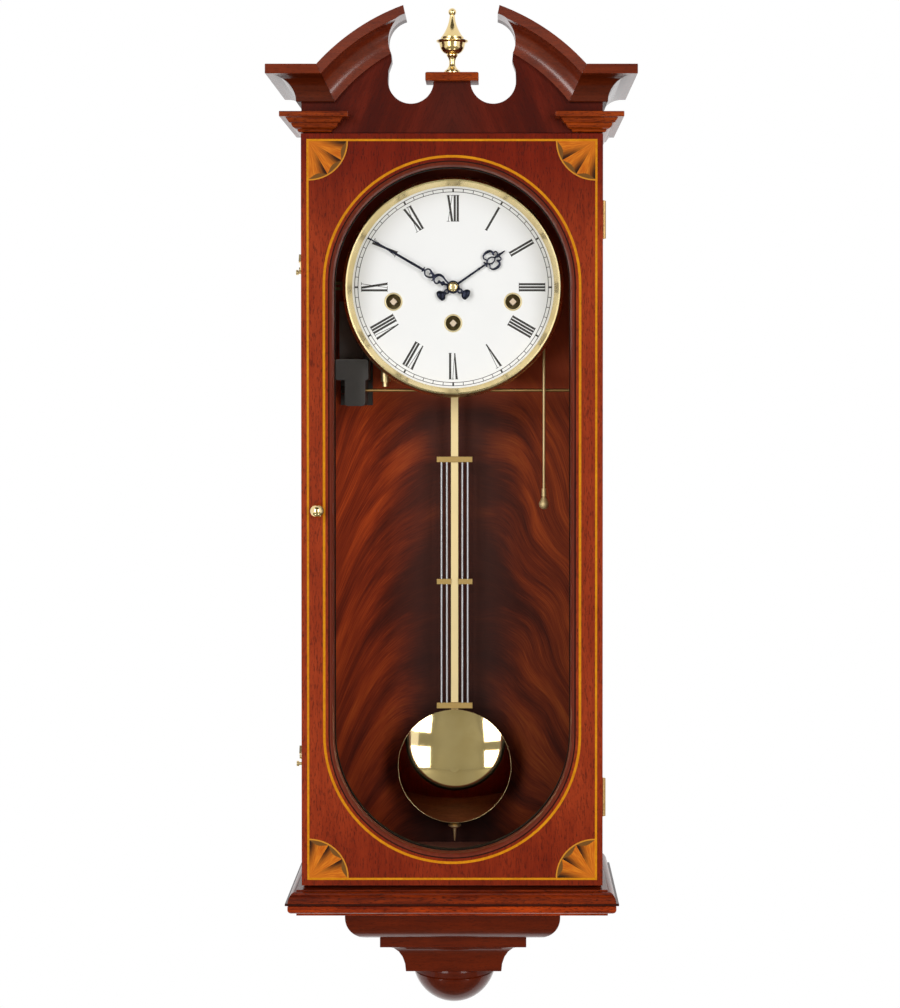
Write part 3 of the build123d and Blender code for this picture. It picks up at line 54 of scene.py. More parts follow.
# Sizes the finishes and the added pieces share with the case, in millimetres
DOOR_HALF = 119.0
DOOR_TOP = 20.0
DOOR_BOTTOM = -574.0
DOOR_MIDDLE = (DOOR_TOP + DOOR_BOTTOM) / 2
MITRE_FRONT = 112.0                 # mouldings turn to the wall behind this depth
FAN_CORNER = (112.9, 290.9)         # corner of a fan, measured from the middle of the door
FAN_FLUTES = 3
OPENING_Z = (-455.0, -99.0)         # centres of the opening's round ends
QUIRK_SHADE_R = (96.3, 96.8)
CORNICE_FILLET = 7.8
CORNICE_FILLET_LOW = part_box("cornices")[1][2] / MM - CORNICE_FILLET
BASE_LINE = -587.0                  # the lower members of the base lie below it
BACK_MIDDLE = sum(corner[1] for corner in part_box("back_panel")) / 2 / MM
ROD_BLOCK_TOP = -157.0
DIAL_Z = -99.0
DIAL_FACE = -85.0


class Tone:
    """A value in a node tree; arithmetic on it adds Math nodes."""

    def __init__(self, owner, socket):
        self.owner = owner
        self.socket = socket

    def math(self, operation, *others):
        return self.owner.node("Math", {"operation": operation}, dict(enumerate((self, *others))))

    def __add__(self, other):
        return self.math("ADD", other)

    def __sub__(self, other):
        return self.math("SUBTRACT", other)

    def __rsub__(self, other):
        return self.owner.node("Math", {"operation": "SUBTRACT"}, {0: other, 1: self})

    def __mul__(self, other):
        return self.math("MULTIPLY", other)

    def __gt__(self, other):
        return self.math("GREATER_THAN", other)

    def __abs__(self):
        return self.math("ABSOLUTE")

    __radd__ = __add__
    __rmul__ = __mul__

    def rise(self, low, high):
        """Smooth step from 0 at low to 1 at high."""
        return self.owner.node("MapRange", {"interpolation_type": "SMOOTHSTEP"},
                               {0: self, 1: low, 2: high})


class Nodes:
    """A node tree, with one way to add a node and to fill a socket."""

    def __init__(self, tree):
        self.tree = tree

    def put(self, socket, value):
        if isinstance(value, Tone):
            self.tree.links.new(value.socket, socket)
        else:
            socket.default_value = value

    def node(self, kind, settings=None, sockets=None, out=0):
        node = self.tree.nodes.new("ShaderNode" + kind)
        for key, value in (settings or {}).items():
            if key == "stops":
                ends = node.color_ramp.elements
                for place, (at, colour) in zip((0, 1), (value[0], value[-1])):
                    ends[place].position = at
                    ends[place].color = (*colour, 1)
                for at, colour in value[1:-1]:
                    ends.new(at).color = (*colour, 1)
            else:
                setattr(node, key, value)
        for key, value in (sockets or {}).items():
            self.put(node.inputs[key], value)
        return Tone(self, node.outputs[out])

    def seen(self):
        """1 for what is looked at straight, in a reflection or through glass; else 0."""
        rays = self.node("LightPath", out="Is Camera Ray")
        for ray in ("Is Glossy Ray", "Is Transmission Ray"):
            rays = rays.math("MAXIMUM", self.node("LightPath", out=ray))
        return rays


class Finish(Nodes):
    """One procedural material around a Principled shader."""

    def __init__(self, name, **shader):
        self.material = bpy.data.materials.new(name)
        self.material.use_nodes = True
        super().__init__(self.material.node_tree)
        self.shader = self.tree.nodes["Principled BSDF"]
        self.set(shader)

    def set(self, values):
        for name, value in values.items():
            self.put(self.shader.inputs[name], value)

    def place(self):
        """Object coordinates in millimetres, as three values."""
        coords = self.node("TexCoord", out="Object")
        split = self.node("SeparateXYZ", sockets={0: coords})
        return [Tone(self, socket) * (1 / MM) for socket in split.socket.node.outputs]

    def vector(self, x, y, z):
        return self.node("CombineXYZ", sockets={0: x, 1: y, 2: z})

    def noise(self, vector, detail=2.0, rough=0.5):
        return self.node("TexNoise", sockets={"Vector": vector, "Scale": 1.0, "Detail": detail,
                                              "Roughness": rough})

    def mix(self, share, first, second, mode="MIX"):
        paints = [(*c, 1) if isinstance(c, tuple) else c for c in (first, second)]
        return self.node("Mix", {"data_type": "RGBA", "blend_type": mode},
                         {0: share, 6: paints[0], 7: paints[1]}, out=2)

    def ramp(self, value, *stops):
        return self.node("ValToRGB", {"stops": stops}, {0: value})

    def bump(self, height, strength, depth):
        return self.node("Bump", sockets={"Height": height, "Strength": strength,
                                          "Distance": depth * MM})


# Wood finishes

WOOD_ROUGHNESS = 0.34
WOOD_SHEEN = 0.06
PORE_DEPTH = 0.08


def varnish(wood, colour, grain_height, coat=0.5, haze=0.06, relief=0.15, clear=1.32):
    """Grain filled and polished, under a clear coat that follows the pores a little."""
    wood.set({"Base Color": colour, "Roughness": WOOD_ROUGHNESS, "Coat Weight": coat,
              "Coat Roughness": haze, "Coat IOR": clear, "Specular IOR Level": WOOD_SHEEN,
              "Normal": wood.bump(grain_height, relief, PORE_DEPTH)})
    return wood.material


def grain_of(wood, along, across, depth):
    """Broad tone, fine streaks and short dark pores of mahogany, each from 0 to 1."""
    broad = wood.noise(wood.vector(across * 0.022, depth * 0.022, along * 0.0035), 2.0)
    streak = wood.noise(wood.vector(across * 0.42, depth * 0.42, along * 0.03), 4.0, 0.6)
    pores = wood.noise(wood.vector(across * 1.5, depth * 1.5, along * 0.24), 2.0, 0.6)
    ribbon = wood.noise(wood.vector(across * 0.11, depth * 0.11, along * 0.03), 1.0)
    return broad, streak, pores.rise(0.52, 0.66), ribbon


def mahogany(name, light, dark, grain="upright", pore_share=0.55, streaks=1.0, shade=None, **gloss):
    """Straight-grained mahogany, its grain upright, level, or turning at a mitre.

    A shade is a height, and the factor that the colour takes below it: painted shade in the
    cornice's cove under its fillet, and a lighter tone on the lower members of the base.
    """
    wood = Finish(name)
    x, y, z = wood.place()
    if grain == "upright":
        along, across, depth = z, x, y
    elif grain == "level":
        along, across, depth = x, z, y
    else:
        side = (abs(x) - DOOR_HALF) > (y * -1 - MITRE_FRONT)
        along = x + side * (y - x)
        across, depth = z, y + side * (x - y)
    broad, streak, pores, ribbon = grain_of(wood, along, across, depth)
    tone = broad * 0.7 + streak * streaks * 0.75 + ribbon * 0.5 - 0.48 - (streaks - 1) * 0.37
    colour = wood.mix(tone.rise(0.1, 0.95), dark, light)
    colour = wood.mix(pores * pore_share, colour, tuple(0.18 * c for c in dark))
    # Below the shade height the colour is multiplied: painted shade on the cornice, lighter on the
    # base
    if shade:
        height, factor = shade
        below = 1 - z.rise(height - 0.5, height + 0.5)
        colour = wood.mix(below, colour, (factor, factor, factor), "MULTIPLY")
    return varnish(wood, colour, pores * -1, **gloss)


def door_veneer():
    """Flat door veneer, a little deeper at the top and bottom rails: partly their tone, partly
    painted shade.
    """
    wood = Finish("door_veneer")
    x, y, z = wood.place()
    broad, streak, pores, ribbon = grain_of(wood, z, x, y)
    tone = broad * 0.55 + streak * 0.6 + ribbon * 0.5 - 0.33
    colour = wood.mix(tone.rise(0.1, 0.95), (0.20, 0.018, 0.004), (0.36, 0.045, 0.010))
    # Rails darker: partly the veneer's own tone, partly painted shade
    rail = (z - DOOR_MIDDLE).rise(200.0, 285.0) + (DOOR_MIDDLE - z).rise(215.0, 285.0) * 0.6
    colour = wood.mix(rail, colour, (0.54, 0.28, 0.22), "MULTIPLY")
    colour = wood.mix(pores * 0.62, colour, (0.040, 0.004, 0.002))
    return varnish(wood, colour, pores * -1)


def bead_mahogany():
    """The bead round the glass, with painted shade in the quirk where it meets the door."""
    wood = Finish("bead_mahogany")
    x, y, z = wood.place()
    broad, streak, pores, _ = grain_of(wood, z, x, y)
    tone = streak * 0.7 + broad * 0.5 - 0.1
    colour = wood.mix(tone.rise(0.1, 0.95), (0.10, 0.014, 0.006), (0.22, 0.032, 0.012))
    beyond = z - z.math("MAXIMUM", OPENING_Z[0]).math("MINIMUM", OPENING_Z[1])
    from_spine = (x * x + beyond * beyond).math("SQRT")
    # Painted shade: a near-black band in the quirk between the bead and the door
    colour = wood.mix(from_spine.rise(*QUIRK_SHADE_R), colour, (0.016, 0.004, 0.003))
    return varnish(wood, colour, pores * -1, coat=0.3)


def pediment_veneer():
    """Figured veneer of the pediment: streaks that spread outward and down from a dark middle."""
    wood = Finish("pediment_veneer")
    x, y, z = wood.place()
    out = abs(x)
    across = out + z * 0.42
    along = z - out * 0.42
    band = wood.noise(wood.vector(across * 0.055, y * 0.02, along * 0.008), 2.5, 0.55)
    fine = wood.noise(wood.vector(across * 0.5, y * 0.5, along * 0.05), 3.0, 0.6)
    pores = wood.noise(wood.vector(across * 1.4, y * 1.4, along * 0.2), 2.0, 0.6).rise(0.54, 0.68)
    tone = band * 0.9 + fine * 0.35 - 0.2
    colour = wood.ramp(tone.rise(0.15, 0.75), (0.0, (0.050, 0.004, 0.002)),
                       (0.5, (0.078, 0.006, 0.002)), (1.0, (0.125, 0.011, 0.004)))
    heart = 1 - out.rise(2.0, 34.0)
    colour = wood.mix(heart * 0.5, colour, (0.045, 0.010, 0.007))
    colour = wood.mix(pores * 0.4, colour, (0.018, 0.003, 0.002))
    return varnish(wood, colour, pores * -1, coat=0.35)


def flame_veneer():
    """Flame figure of the back panel: plumes fall away from a dark middle; plain wood behind."""
    wood = Finish("flame_veneer", **{"Specular IOR Level": 0.1})
    x, y, z = wood.place()
    sway = wood.noise(wood.vector(x * 0.012, y * 0.01, z * 0.009), 1.5) - 0.5
    out = abs(x + sway * 30)
    lift = z + out * out * out * 0.00009 + out * 0.12 + sway * 46
    plume = wood.noise(wood.vector(out * 0.011, y * 0.01, lift * 0.030), 2.0, 0.5)
    feather = wood.noise(wood.vector(out * 0.03, y * 0.03, lift * 0.10), 3.0, 0.6)
    hair = wood.noise(wood.vector(out * 0.06, y * 0.1, lift * 0.9), 3.0, 0.6)
    tone = plume * 0.75 + feather * 0.46 + hair * 0.62 - 0.50
    colour = wood.ramp(tone.rise(0.14, 0.78), (0.0, (0.13, 0.016, 0.007)),
                       (0.4, (0.36, 0.042, 0.010)), (0.7, (0.58, 0.077, 0.014)),
                       (1.0, (0.74, 0.130, 0.020)))
    heart = 1 - (out + plume * 36 - 18).rise(18.0, 78.0)
    colour = wood.mix(heart * 0.94, colour, (0.044, 0.014, 0.010))
    low = 1 - z.rise(-530.0, -270.0)
    colour = wood.mix(low * 0.9, colour, (0.42, 0.44, 0.50), "MULTIPLY")
    right = x.rise(-20.0, 90.0)
    colour = wood.mix(right * 0.9, colour, (0.62, 0.85, 1.0), "MULTIPLY")
    beside_dial = z.rise(-205.0, -165.0)
    colour = wood.mix(beside_dial * 0.7, colour, (0.55, 0.10, 0.040))
    streak = wood.noise(wood.vector(x * 0.3, y * 0.3, z * 0.02), 4.0, 0.6)
    plain = wood.mix(streak.rise(0.3, 0.7), (0.13, 0.045, 0.020), (0.22, 0.085, 0.038))
    colour = wood.mix(y.rise(BACK_MIDDLE - 0.2, BACK_MIDDLE + 0.2), colour, plain)
    wood.set({"Base Color": colour, "Roughness": hair * 0.2 + 0.4})
    return wood.material


def boxwood():
    """Thin boxwood lines, butted and varnished with the door."""
    wood = Finish("boxwood_line")
    x, y, z = wood.place()
    fibre = wood.noise(wood.vector(x * 0.5, y * 0.5, z * 0.5), 3.0)
    length = wood.noise(wood.vector(x * 0.03, y * 0.03, z * 0.03), 2.0)
    colour = wood.ramp(fibre * 0.6 + length * 0.5, (0.3, (0.48, 0.15, 0.001)),
                       (0.75, (0.68, 0.27, 0.006)))
    return varnish(wood, colour, fibre)


def shaded_fans():
    """Quarter fans of flutes, each singed along one side, in a scalloped border."""
    wood = Finish("shaded_fans")
    x, y, z = wood.place()
    up = z - DOOR_MIDDLE
    from_side = FAN_CORNER[0] - abs(x)
    from_end = FAN_CORNER[1] - abs(up)
    swap = (x * up) > 0
    rise = from_end + swap * (from_side - from_end)
    run = from_side + swap * (from_end - from_side)
    reach = (rise * rise + run * run).math("SQRT")
    turn = rise.math("ARCTAN2", run) * (FAN_FLUTES / (pi / 2))
    flute = turn.math("FRACT")
    singe = (1 - flute.rise(0.02, 0.62)) * reach.rise(3.0, 27.0)
    seam = 1 - flute.rise(0.0, 0.05)
    fibre = wood.noise(wood.vector(flute * 14, reach * 0.10, turn.math("FLOOR") * 7), 3.0)
    colour = wood.mix(fibre.rise(0.3, 0.75), (0.46, 0.10, 0.006), (0.66, 0.20, 0.014))
    colour = wood.mix(singe, colour, (0.020, 0.007, 0.004))
    colour = wood.mix(seam * reach.rise(4.0, 20.0), colour, (0.02, 0.006, 0.003))
    scallop = 29.9 - (flute * pi).math("SINE") * 3.4
    colour = wood.mix((reach - scallop).rise(-0.2, 0.2), colour, (0.16, 0.065, 0.014))
    colour = wood.mix(reach.rise(29.7, 30.1), colour, (0.58, 0.23, 0.02))
    return varnish(wood, colour, fibre)


# Metal, dial and glass finishes

def brass(name, colour, rough, wear=0.5):
    """Lacquered brass, slightly uneven in polish and warmer where it is handled less."""
    metal = Finish(name, **{"Metallic": 1.0})
    x, y, z = metal.place()
    cloud = metal.noise(metal.vector(x * 0.05, y * 0.05, z * 0.05), 3.0)
    fine = metal.noise(metal.vector(x * 1.7, y * 1.7, z * 1.7), 2.0)
    deep = tuple(c * t for c, t in zip(colour, (0.86, 0.80, 0.62)))
    metal.set({"Base Color": metal.mix(cloud.rise(0.3, 0.75) * wear, colour, deep),
               "Roughness": rough + cloud * rough * 0.4 + fine * rough * 0.1 - rough * 0.25,
               "Normal": metal.bump(fine, 0.02, 0.02)})
    return metal.material


def drawn_steel():
    metal = Finish("drawn_steel", **{"Metallic": 1.0})
    x, y, z = metal.place()
    draw = metal.noise(metal.vector(x * 6, y * 6, z * 0.05), 3.0)
    metal.set({"Base Color": metal.mix(draw, (0.40, 0.40, 0.42), (0.52, 0.52, 0.54)),
               "Roughness": draw * 0.10 + 0.42})
    return metal.material


def blued_steel():
    metal = Finish("blued_steel", **{"Metallic": 0.7})
    x, y, z = metal.place()
    heat = metal.noise(metal.vector(x * 0.12, y * 0.12, z * 0.12), 2.0)
    metal.set({"Base Color": metal.mix(heat, (0.006, 0.007, 0.016), (0.014, 0.018, 0.042)),
               "Roughness": heat * 0.15 + 0.26, "Normal": metal.bump(heat, 0.05, 0.02)})
    return metal.material


def dial_enamel():
    paint = Finish("dial_enamel")
    x, y, z = paint.place()
    cloud = paint.noise(paint.vector(x * 0.02, y * 0.02, z * 0.02), 2.0)
    grain = paint.noise(paint.vector(x * 3, y * 3, z * 3), 2.0)
    paint.set({"Base Color": paint.mix(cloud, (0.86, 0.865, 0.88), (0.89, 0.895, 0.91)),
               "Roughness": grain * 0.12 + 0.44, "Normal": paint.bump(grain, 0.05, 0.02)})
    return paint.material


def printed_ink():
    ink = Finish("printed_ink")
    x, y, z = ink.place()
    cover = ink.noise(ink.vector(x * 0.8, y * 0.8, z * 0.8), 3.0)
    ink.set({"Base Color": ink.mix(cover, (0.012, 0.010, 0.009), (0.030, 0.024, 0.021)),
             "Roughness": cover * 0.2 + 0.4})
    return ink.material


def black_casting():
    """Black sand casting, with painted light making it paler above the block that holds the rods.
    """
    iron = Finish("black_casting")
    x, y, z = iron.place()
    sand = iron.noise(iron.vector(x * 1.3, y * 1.3, z * 1.3), 4.0, 0.65)
    dust = iron.noise(iron.vector(x * 0.06, y * 0.06, z * 0.06), 2.0)
    cover = sand * 0.5 + dust * 0.5
    block = iron.mix(cover, (0.022, 0.019, 0.018), (0.068, 0.060, 0.056))
    # Painted light: the column above the rod block sits in the bezel's shadow, so it is coloured
    # paler
    body = iron.mix(cover, (0.085, 0.074, 0.068), (0.25, 0.215, 0.20))
    above = z.rise(ROD_BLOCK_TOP - 2.0, ROD_BLOCK_TOP + 2.0)
    iron.set({"Base Color": iron.mix(above, block, body),
              "Roughness": sand * 0.3 + 0.42, "Normal": iron.bump(sand, 0.5, 0.25)})
    return iron.material


def clear_glass():
    """Glass that is clear when looked at straight and mirrors the room at a slant."""
    glass = Finish("clear_glass", **{"Metallic": 1.0, "Roughness": 0.01,
                                     "Base Color": (0.92, 0.96, 0.95, 1)})
    edge_on = glass.node("LayerWeight", sockets={"Blend": 0.25}, out="Fresnel")
    glass.set({"Alpha": edge_on.rise(0.04, 0.7) * 0.5})
    return glass.material


def dark_seal():
    seal = Finish("dark_seal", **{"Specular IOR Level": 0.08})
    x, y, z = seal.place()
    crumb = seal.noise(seal.vector(x * 0.7, y * 0.7, z * 0.7), 3.0, 0.6)
    seal.set({"Base Color": seal.mix(crumb, (0.005, 0.004, 0.003), (0.022, 0.015, 0.011)),
              "Roughness": crumb * 0.3 + 0.5, "Normal": seal.bump(crumb, 0.4, 0.3)})
    return seal.material


DOOR_VENEER = door_veneer()
SIDE_WOOD = mahogany("side_mahogany", (0.30, 0.045, 0.014), (0.15, 0.014, 0.005), coat=0.75)
PEDIMENT_WOOD = pediment_veneer()
ARCH_WOOD = mahogany("arch_mahogany", (0.20, 0.026, 0.006), (0.095, 0.010, 0.003), "mitred", 0.35,
                     coat=1.0, haze=0.2, relief=0.03, clear=1.5)
# Painted shade: the cove under the cornice fillet is darkened by the shade factor
CORNICE_WOOD = mahogany("cornice_mahogany", (0.20, 0.026, 0.005), (0.095, 0.010, 0.002), "mitred",
                        0.35, shade=(CORNICE_FILLET_LOW, 0.55), coat=0.75, haze=0.12, relief=0.06)
CAPITAL_WOOD = mahogany("capital_mahogany", (0.36, 0.052, 0.003), (0.090, 0.007, 0.001), "mitred",
                        0.7, 1.5, coat=0.6, haze=0.14, relief=0.08)
BASE_WOOD = mahogany("base_mahogany", (0.25, 0.026, 0.001), (0.070, 0.005, 0.0005), "mitred",
                     0.7, 1.9, shade=(BASE_LINE, 1.85), coat=0.6, haze=0.14, relief=0.08)
DROP_WOOD = mahogany("drop_mahogany", (0.130, 0.013, 0.0015), (0.066, 0.006, 0.001), "level", 0.35,
                     coat=0.55, haze=0.05, relief=0.03)
# Painted shade: the base board is coloured near black for the shadow line between the base
# mouldings
BASE_BOARD_SHADE_WOOD = mahogany("base_board_painted_shade", (0.060, 0.009, 0.004), (0.028, 0.004, 0.002), "level")
FLOOR_WOOD = mahogany("case_floor", (0.36, 0.14, 0.09), (0.20, 0.07, 0.047), "level")
BEAD_WOOD = bead_mahogany()
FLAME_VENEER = flame_veneer()
BOXWOOD = boxwood()
SHADED_FANS = shaded_fans()
POLISHED_BRASS = brass("polished_brass", (0.88, 0.70, 0.38), 0.055, 0.4)
SATIN_BRASS = brass("satin_brass", (0.84, 0.66, 0.36), 0.26, 0.5)
FINIAL_BRASS = brass("finial_brass", (0.86, 0.67, 0.34), 0.17, 0.5)
PALE_BRASS = brass("pale_brass", (0.82, 0.66, 0.37), 0.42, 0.3)
PULL_BRASS = brass("pull_brass", (0.80, 0.64, 0.36), 0.62, 0.3)
BUSH_BRASS = brass("bush_brass", (0.97, 0.86, 0.56), 0.6, 0.2)
ARBOR_BRASS = brass("arbor_brass", (0.58, 0.47, 0.36), 0.5, 0.3)
RED_BRASS = brass("red_brass", (0.42, 0.285, 0.11), 0.44, 0.3)
CREAM_BRASS = brass("cream_brass", (0.92, 0.76, 0.42), 0.27, 0.5)
DULL_BRASS = brass("dull_brass", (0.46, 0.29, 0.12), 0.40, 0.6)
# Painted shade: the front plate is dark so that the winding holes look shaded inside
HOLE_SHADE_BRASS = brass("winding_hole_shade_brass", (0.15, 0.115, 0.055), 0.45, 0.6)
PLATE_BRASS = brass("plate_brass", (0.74, 0.57, 0.29), 0.34, 0.8)
DRAWN_STEEL = drawn_steel()
BLUED_STEEL = blued_steel()
DIAL_ENAMEL = dial_enamel()
PRINTED_INK = printed_ink()
BLACK_CASTING = black_casting()
CLEAR_GLASS = clear_glass()
DARK_SEAL = dark_seal()

SLOT_FINISH = {
    "mahogany": SIDE_WOOD, "flame_mahogany": FLAME_VENEER, "boxwood": BOXWOOD,
    "shaded_veneer": SHADED_FANS, "brass": SATIN_BRASS, "plate_brass": PLATE_BRASS,
    "blued_steel": BLUED_STEEL, "steel": DRAWN_STEEL, "dial_white": DIAL_ENAMEL,
    "cast_iron": BLACK_CASTING, "glass": CLEAR_GLASS, "seal": DARK_SEAL,
}
NODE_FINISH = {
    "door_frame": DOOR_VENEER, "door_bead": BEAD_WOOD,
    "pediment_board": PEDIMENT_WOOD, "arch_mouldings": ARCH_WOOD, "cornices": CORNICE_WOOD,
    "capitals": CAPITAL_WOOD, "finial_plinth": CAPITAL_WOOD,
    "base_mouldings": BASE_WOOD, "base_board": BASE_BOARD_SHADE_WOOD, "case_bottom": FLOOR_WOOD,
    "drop_block": DROP_WOOD, "drop_cove": DROP_WOOD, "drop_bun": DROP_WOOD,
    "finial": FINIAL_BRASS, "door_knob": POLISHED_BRASS, "bezel": CREAM_BRASS,
    "pendulum_bob": POLISHED_BRASS, "hand_nut": CREAM_BRASS, "winding_bushes": BUSH_BRASS,
    "front_plate": HOLE_SHADE_BRASS, "hinge_case_leaves": DULL_BRASS, "hinge_door_leaves": DULL_BRASS,
    "chime_rods": DULL_BRASS, "chime_silent_pull": PULL_BRASS,
    "pendulum_rod": PALE_BRASS, "rating_nut": PALE_BRASS, "strike_hammers": PALE_BRASS,
    "winding_arbor_strike": ARBOR_BRASS, "winding_arbor_going": ARBOR_BRASS,
    "winding_arbor_chime": ARBOR_BRASS,
}


def finish_of(node):
    return NODE_FINISH.get(node, SLOT_FINISH[SLOT[node]])


for node, shape in frame["nodes"].items():
    for place in range(len(shape.data.materials)):
        shape.data.materials[place] = finish_of(node)


# Making pieces

SHARP = radians(38)
ARRIS = radians(40)
FLAT = radians(0.3)
WELD = 2e-6


def finished(name, bm, finish, node, stands_for=()):
    """Make a mesh of a bmesh, on the body of the node it belongs to."""
    mesh = bpy.data.meshes.new(name)
    bm.to_mesh(mesh)
    bm.free()
    mesh.materials.append(finish)
    mesh.polygons.foreach_set("use_smooth", [True] * len(mesh.polygons))
    mesh.set_sharp_from_angle(angle=SHARP)
    shape = bpy.data.objects.new(name, mesh)
    bpy.context.scene.collection.objects.link(shape)
    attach(shape, BODY[node])
    if stands_for:
        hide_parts(*stands_for)
    return shape


def eased(node, width):
    """A node with its sharp edges rubbed down as polishing leaves them."""
    bm = bmesh.new()
    bm.from_mesh(frame["nodes"][node].data)
    bmesh.ops.remove_doubles(bm, verts=bm.verts, dist=WELD)
    bmesh.ops.dissolve_limit(bm, angle_limit=FLAT, verts=bm.verts, edges=bm.edges)
    arrises = [e for e in bm.edges if e.is_manifold and e.calc_face_angle(0) > ARRIS]
    bmesh.ops.bevel(bm, geom=arrises, offset=width * MM, segments=2, profile=0.5, affect="EDGES",
                    material=-1, clamp_overlap=True)
    shape = finished(f"{node}_eased", bm, finish_of(node), node, (node,))
    weighted = shape.modifiers.new("even_shading", "WEIGHTED_NORMAL")
    weighted.keep_sharp = True


EASED_WIDTH = {
    "case_side_left": 0.5, "case_side_right": 0.5, "door_frame": 0.5, "pediment_board": 0.4,
    "cornices": 0.5, "capitals": 0.5, "finial_plinth": 0.5, "base_mouldings": 0.4,
    "base_board": 0.4, "drop_block": 0.5, "drop_cove": 0.4,
}
for node, width in EASED_WIDTH.items():
    eased(node, width)


# Pendulum: brass bars, bright steel rods and the rim of the bob

GRID_HALF = 15.0
STRIP_HALF = 3.0
STRIP_FRONT = -30.75
BAR_THICK = 2.0
BAR_EASE = 0.15
BAR_MIDDLE = STRIP_FRONT - BAR_THICK / 2
TOP_BAR = (-242.9, -238.2)
MIDDLE_BAR = (-345.2, -340.6)
LOW_BAR = (-449.3, -444.4)
ROD_X = (-11.0, -6.45, 6.45, 11.0)
ROD_R = 0.98
BOB_R = 47.3
BOB_BEAD_R = 0.18
BOB_MIDDLE = (0, -34.75 * MM, -497.5 * MM)


def gridiron():
    bars = bmesh.new()
    spans = (((-GRID_HALF, GRID_HALF), TOP_BAR), ((-GRID_HALF, GRID_HALF), LOW_BAR),
             ((-GRID_HALF, -STRIP_HALF), MIDDLE_BAR), ((STRIP_HALF, GRID_HALF), MIDDLE_BAR))
    for (left, right), (low, high) in spans:
        size = Matrix.Diagonal(((right - left) * MM, BAR_THICK * MM, (high - low) * MM, 1))
        middle = ((left + right) / 2 * MM, BAR_MIDDLE * MM, (low + high) / 2 * MM)
        bmesh.ops.create_cube(bars, size=1, matrix=Matrix.Translation(middle) @ size)
    bmesh.ops.bevel(bars, geom=bars.edges[:], offset=BAR_EASE * MM, segments=1, profile=0.5,
                    affect="EDGES", material=-1)
    finished("gridiron_bars", bars, RED_BRASS, "gridiron", ("gridiron",))
    rods = bmesh.new()
    rod_top, rod_foot = TOP_BAR[0], LOW_BAR[1]
    for x in ROD_X:
        middle = Matrix.Translation((x * MM, BAR_MIDDLE * MM, (rod_top + rod_foot) / 2 * MM))
        bmesh.ops.create_cone(rods, cap_ends=True, segments=20, radius1=ROD_R * MM,
                              radius2=ROD_R * MM, depth=(rod_top - rod_foot) * MM, matrix=middle)
    finished("gridiron_rods", rods, DRAWN_STEEL, "gridiron", ("gridiron",))


def spun(bm, section, edges, steps):
    """Turn a section once round the Y axis."""
    bmesh.ops.spin(bm, geom=section + edges, cent=(0, 0, 0), axis=(0, 1, 0), angle=2 * pi,
                   steps=steps, use_merge=True)


def bob_rim():
    """The bright bead turned on the edge of the bob."""
    bm = bmesh.new()
    section = bmesh.ops.create_circle(bm, segments=10, radius=BOB_BEAD_R * MM,
                                      matrix=Matrix.Translation((BOB_R * MM, 0, 0)))["verts"]
    spun(bm, section, list({e for v in section for e in v.link_edges}), 128)
    bmesh.ops.recalc_face_normals(bm, faces=bm.faces)
    bmesh.ops.translate(bm, verts=bm.verts, vec=BOB_MIDDLE)
    finished("bob_rim", bm, SATIN_BRASS, "pendulum_bob")


gridiron()
bob_rim()


# Dial printing: radii and strokes in millimetres

INK_THICK = 0.06
TRACK_RINGS = ((76.9, 77.4), (79.6, 80.1))
TICK_R = (77.1, 79.9)
TICK_WIDE, HOUR_TICK_WIDE = 0.5, 1.4
NUMERALS = ("XII", "I", "II", "III", "IIII", "V", "VI", "VII", "VIII", "IX", "X", "XI")
NUMERAL_R = (53.4, 74.4)
GLYPH_WIDE = {"I": 2.45, "V": 5.0, "X": 5.0}
SPREAD = 1.6                        # half the width between the strokes of a V or an X
STEM, HEAVY, HAIRLINE, POINT = 1.75, 1.8, 0.42, 1.0
SERIF, STEM_SERIF, SERIF_HALF = 2.4, 2.46, 0.2


def on_dial(bm, verts, turn):
    """Turn what is drawn upright at twelve to its hour, and lay it on the dial."""
    bmesh.ops.rotate(bm, verts=verts, cent=(0, 0, 0), matrix=Matrix.Rotation(turn, 3, "Y"))
    bmesh.ops.translate(bm, verts=verts, vec=(0, (DIAL_FACE - INK_THICK / 2) * MM, DIAL_Z * MM))


def ink_bar(bm, foot, head, foot_wide, head_wide, turn):
    """One stroke of ink from foot to head, each given as offset and radius from the centre."""
    verts = bmesh.ops.create_cube(bm, size=1)["verts"]
    for v in verts:
        share = v.co.z + 0.5
        wide = foot_wide + (head_wide - foot_wide) * share
        v.co = Vector((foot[0] + (head[0] - foot[0]) * share + v.co.x * wide, v.co.y * INK_THICK,
                       foot[1] + (head[1] - foot[1]) * share)) * MM
    on_dial(bm, verts, turn)


def ink_ring(bm, inner, outer):
    half = INK_THICK / 2
    corners = [bm.verts.new((r * MM, y * MM, 0)) for r, y in
               ((inner, -half), (outer, -half), (outer, half), (inner, half))]
    edges = [bm.edges.new((corners[i], corners[i - 1])) for i in range(4)]
    spun(bm, corners, edges, 180)


def serif(bm, across, reach, wide, turn):
    ink_bar(bm, (across, reach - SERIF_HALF), (across, reach + SERIF_HALF), wide, wide, turn)


def numeral(bm, letters, turn):
    """A Roman numeral with its foot to the centre: heavy and hairline strokes and fine serifs."""
    low, high = NUMERAL_R
    left = -sum(GLYPH_WIDE[c] for c in letters) / 2
    for letter in letters:
        wide = GLYPH_WIDE[letter]
        mid = left + wide / 2
        if letter == "I":
            ink_bar(bm, (mid, low), (mid, high), STEM, STEM, turn)
            for reach in (low, high):
                serif(bm, mid, reach, STEM_SERIF, turn)
        else:
            foot, foot_wide = (0.0, POINT) if letter == "V" else (SPREAD, HEAVY)
            ink_bar(bm, (mid + foot, low), (mid - SPREAD, high), foot_wide, HEAVY, turn)
            ink_bar(bm, (mid - foot, low), (mid + SPREAD, high), HAIRLINE, HAIRLINE, turn)
            for across in (mid - SPREAD, mid + SPREAD):
                serif(bm, across, high, SERIF, turn)
                if letter == "X":
                    serif(bm, across, low, SERIF, turn)
        left += wide


